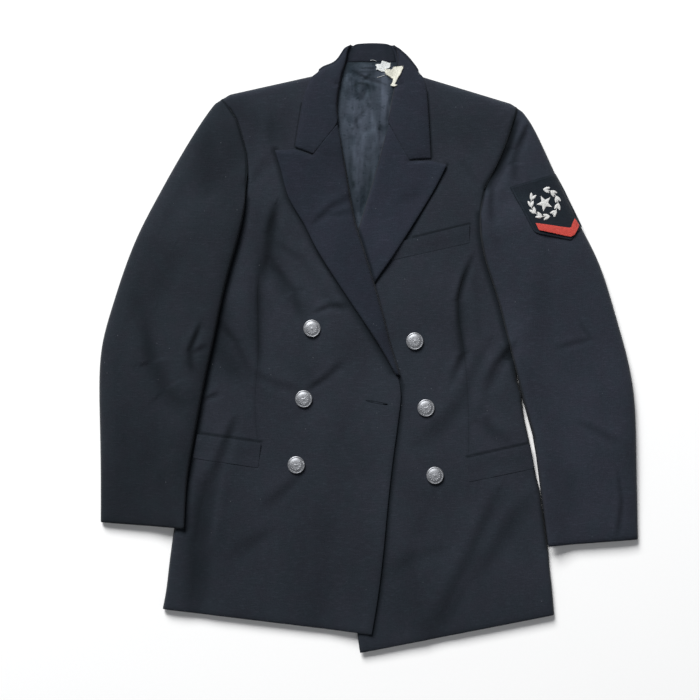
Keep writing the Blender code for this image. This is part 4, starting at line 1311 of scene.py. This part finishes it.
def addTorn(name, outline, surface, pitch, lift):  # a scrap of tape whose threads end in steps
    xs = np.arange(min(p[0] for p in outline) - 1, max(p[0] for p in outline) + 1, pitch)
    ys = np.arange(min(p[1] for p in outline) - 1, max(p[1] for p in outline) + 1, pitch)
    vertices, faces, known = [], [], {}
    for i, x in enumerate(xs[:-1]):
        for j, y in enumerate(ys[:-1]):
            ragged = 0.5 * math.sin(2.6 * j + i) + 0.35 * math.sin(3.9 * i - 1.7 * j)
            if not insideOutline(x + pitch / 2 + ragged * 0.6, y + pitch / 2 + ragged * 0.4, outline):
                continue
            face = []
            for a, b in ((i, j), (i + 1, j), (i + 1, j + 1), (i, j + 1)):
                if (a, b) not in known:
                    known[a, b] = len(vertices)
                    vertices.append((xs[a] * mm, ys[b] * mm, 0.0))
                face.append(known[a, b])
            faces.append(face)
    mesh = bpy.data.meshes.new(name)
    mesh.from_pydata(vertices, [], faces)
    piece = addObject(name, mesh)
    points = pointsOf(piece)
    floor = np.array([surface.height(x, y, 0.006) for x, y, z in points])
    points[:, 2] = floor
    mean = neighbourMean(piece)
    for _ in range(40):  # the scrap bridges hollows and bends softly over the collar
        points[:, 2] = np.maximum(mean(points[:, 2]), floor)
    wave = 0.5 + 0.5 * np.sin(points[:, 0] / 0.0034 + 1.1) * np.cos(points[:, 1] / 0.0041)
    points[:, 2] += (lift + wave * 0.9) * mm
    setPoints(piece, points)
    applyModifier(piece, "SOLIDIFY", thickness=0.00045, offset=1.0)
    smoothWithin(piece, 50)
    return piece


def makeLabels():
    surface = Surface(made["back_lining_satin"], made["collar_stand_cloth"], made["collar_cloth"])
    for node, name, colour, slot, flat, area, lift in (
        ("neck_label", "neck_label_tape", (0.80, 0.83, 0.82), "white_tape", (0.0205, 0.0149), 0.00017, 0.2),
        ("size_label", "size_label_tape", (0.74, 0.73, 0.63), "cream_tape", (0.0248, 0.0268), 0.0004, 0.9),
    ):
        piece = addTorn(name, labelShapes[node], surface, 0.62, lift)
        addPiece(piece, tapeMaterial(name + "Weave", colour), node)
    threads = []
    for line in threadLines:
        strand = addStrand("thread", [(x, y, 0.5) for x, y in line], 0.28)
        layOn(strand, surface)
        threads.append(strand)
    threads = joinAll(threads, "loose_threads")
    addPiece(threads, threadMaterial("looseThread", (0.55, 0.57, 0.58), 0.9, 0.6), None)
    print("labels")


buttonholeLook = {"middle": (11.0, -73.3), "length": 29.0, "turn": -0.18, "gape": 1.3, "thread": 0.17, "slitShade": 0.5}


def makeButtonhole():
    look = buttonholeLook
    x0, y0 = look["middle"]
    ring = []
    for i in range(40):
        angle = 2 * math.pi * i / 40
        x = look["length"] / 2 * math.cos(angle)
        y = look["gape"] * math.sin(angle) * (1.0 if x < 9 else 1.5)
        across = x0 + x * math.cos(look["turn"]) - y * math.sin(look["turn"])
        along = y0 + x * math.sin(look["turn"]) + y * math.cos(look["turn"])
        ring.append((across, along, 0.1))
    surface = Surface(made["right_front_cloth"])
    edges = addStrand("buttonhole_edges", ring, look["thread"], closed=True)
    # a black cord along the slit: painted shade in the opening
    slitShade = []
    for share in np.linspace(0.30, 0.48, 5):
        x = share * look["length"]
        slitShade.append((x0 + x * math.cos(look["turn"]), y0 + x * math.sin(look["turn"]) - 0.3, 0.1))
    piece = joinAll([edges, addStrand("slitShade", slitShade, look["slitShade"])], "buttonhole_stitch")
    layOn(piece, surface, -0.0001)
    addPiece(piece, threadMaterial("buttonholeThread", (0.0030, 0.0036, 0.0050), 0.8, 0.0, 0.95, 0.0), None)
    print("buttonhole")


bodyPushes = [  # the side of the body meets the sleeve above and below the gap
    ((203, -58), 18, (2.6, 0.0)), ((207, -78), 14, (1.6, 0.0)), ((205, -66), 12, (1.8, 0.0)),
    ((229, -190), 20, (1.3, 0.0)), ((231, -208), 30, (1.5, 0.0)), ((237, -238), 30, (1.3, 0.0)),
    ((242, -268), 28, (1.5, 0.0)),
]
outlinePushes = [  # middle, radius and push in mm
    ((-198, 336), 15, (1.6, -3.2)),
    ((200, 324), 12, (-1.6, -1.8)),
    ((-24, 406), 12, (1.6, -2.2)),
    ((34, 405), 11, (-1.2, -1.6)),
    ((-49, 388), 27, (4.2, -4.8)),
    ((54, 389), 22, (0.8, 1.2)),
    ((-68, 371), 12, (1.8, -1.0)),
    ((66, 368), 10, (-1.2, -0.8)),
]


def roundOutline():  # every layer follows, so that what lies together stays together
    for name, piece in made.items():
        points = pointsOf(piece)
        body = name.startswith(("back_cloth", "left_front", "left_hip"))
        for (x, y), radius, (east, north) in outlinePushes + (bodyPushes if body else []):
            away = np.hypot(points[:, 0] / mm - x, points[:, 1] / mm - y)
            weight = smoothStep(1 - away / radius)
            points[:, 0] += weight * east * mm
            points[:, 1] += weight * north * mm
        setPoints(piece, points)
    print("outline")


# camera, floor and light

stageLook = {
    "floor": (0.90, 0.90, 0.895),
    "distance": 2.2,
    "lens": 84.4,
    "middle": (-24.8, -3.35),
    "lights": {  # place and size in metres, power in watts
        "softbox": ((-2.2, 5.5, 4.3), 3.4, 930.0),
        "ceiling": ((0.3, -0.4, 3.4), 1.6, 12.0),
    },
    "room": (0.9, 0.93, 1.0),
    "roomLight": 0.14,
}


def makeStage():
    look = stageLook
    deselectAll()
    bpy.ops.mesh.primitive_plane_add(size=6.0, location=(0, 0, -0.0004))
    floor = bpy.context.object
    floor.name = "paleFloor"
    s = Shader("palePaper")
    grain = s.noise(300, 2.0)
    floor.data.materials.append(s.finish(s.shade(look["floor"], 0.99 + grain * 0.02), 0.9))
    x, y = look["middle"]
    bpy.ops.object.camera_add(location=(x * mm, y * mm, look["distance"]), rotation=(0, 0, 0))
    camera = bpy.context.object
    camera.data.lens = look["lens"]
    camera.data.sensor_width = 36
    camera.data.clip_start = 0.05
    bpy.context.scene.camera = camera
    for name, (place, size, power) in look["lights"].items():
        bpy.ops.object.light_add(type="AREA", location=place)
        light = bpy.context.object
        light.name = name
        light.data.shape = "SQUARE"
        light.data.size = size
        light.data.energy = power
        light.rotation_euler = (-Vector(place)).to_track_quat("-Z", "Y").to_euler()
    world = bpy.data.worlds.new("paleRoom")
    bpy.context.scene.world = world
    world.use_nodes = True
    air = world.node_tree.nodes["Background"]
    air.inputs["Color"].default_value = rgba(look["room"])
    air.inputs["Strength"].default_value = look["roomLight"]
    bpy.context.scene.view_settings.view_transform = "Standard"
    print("stage")


makePanels()
makeFlatPieces()
makeLining()
makeWelts()
makeButtons()
makeBadge()
makeLabels()
makeButtonhole()
roundOutline()
makeStage()
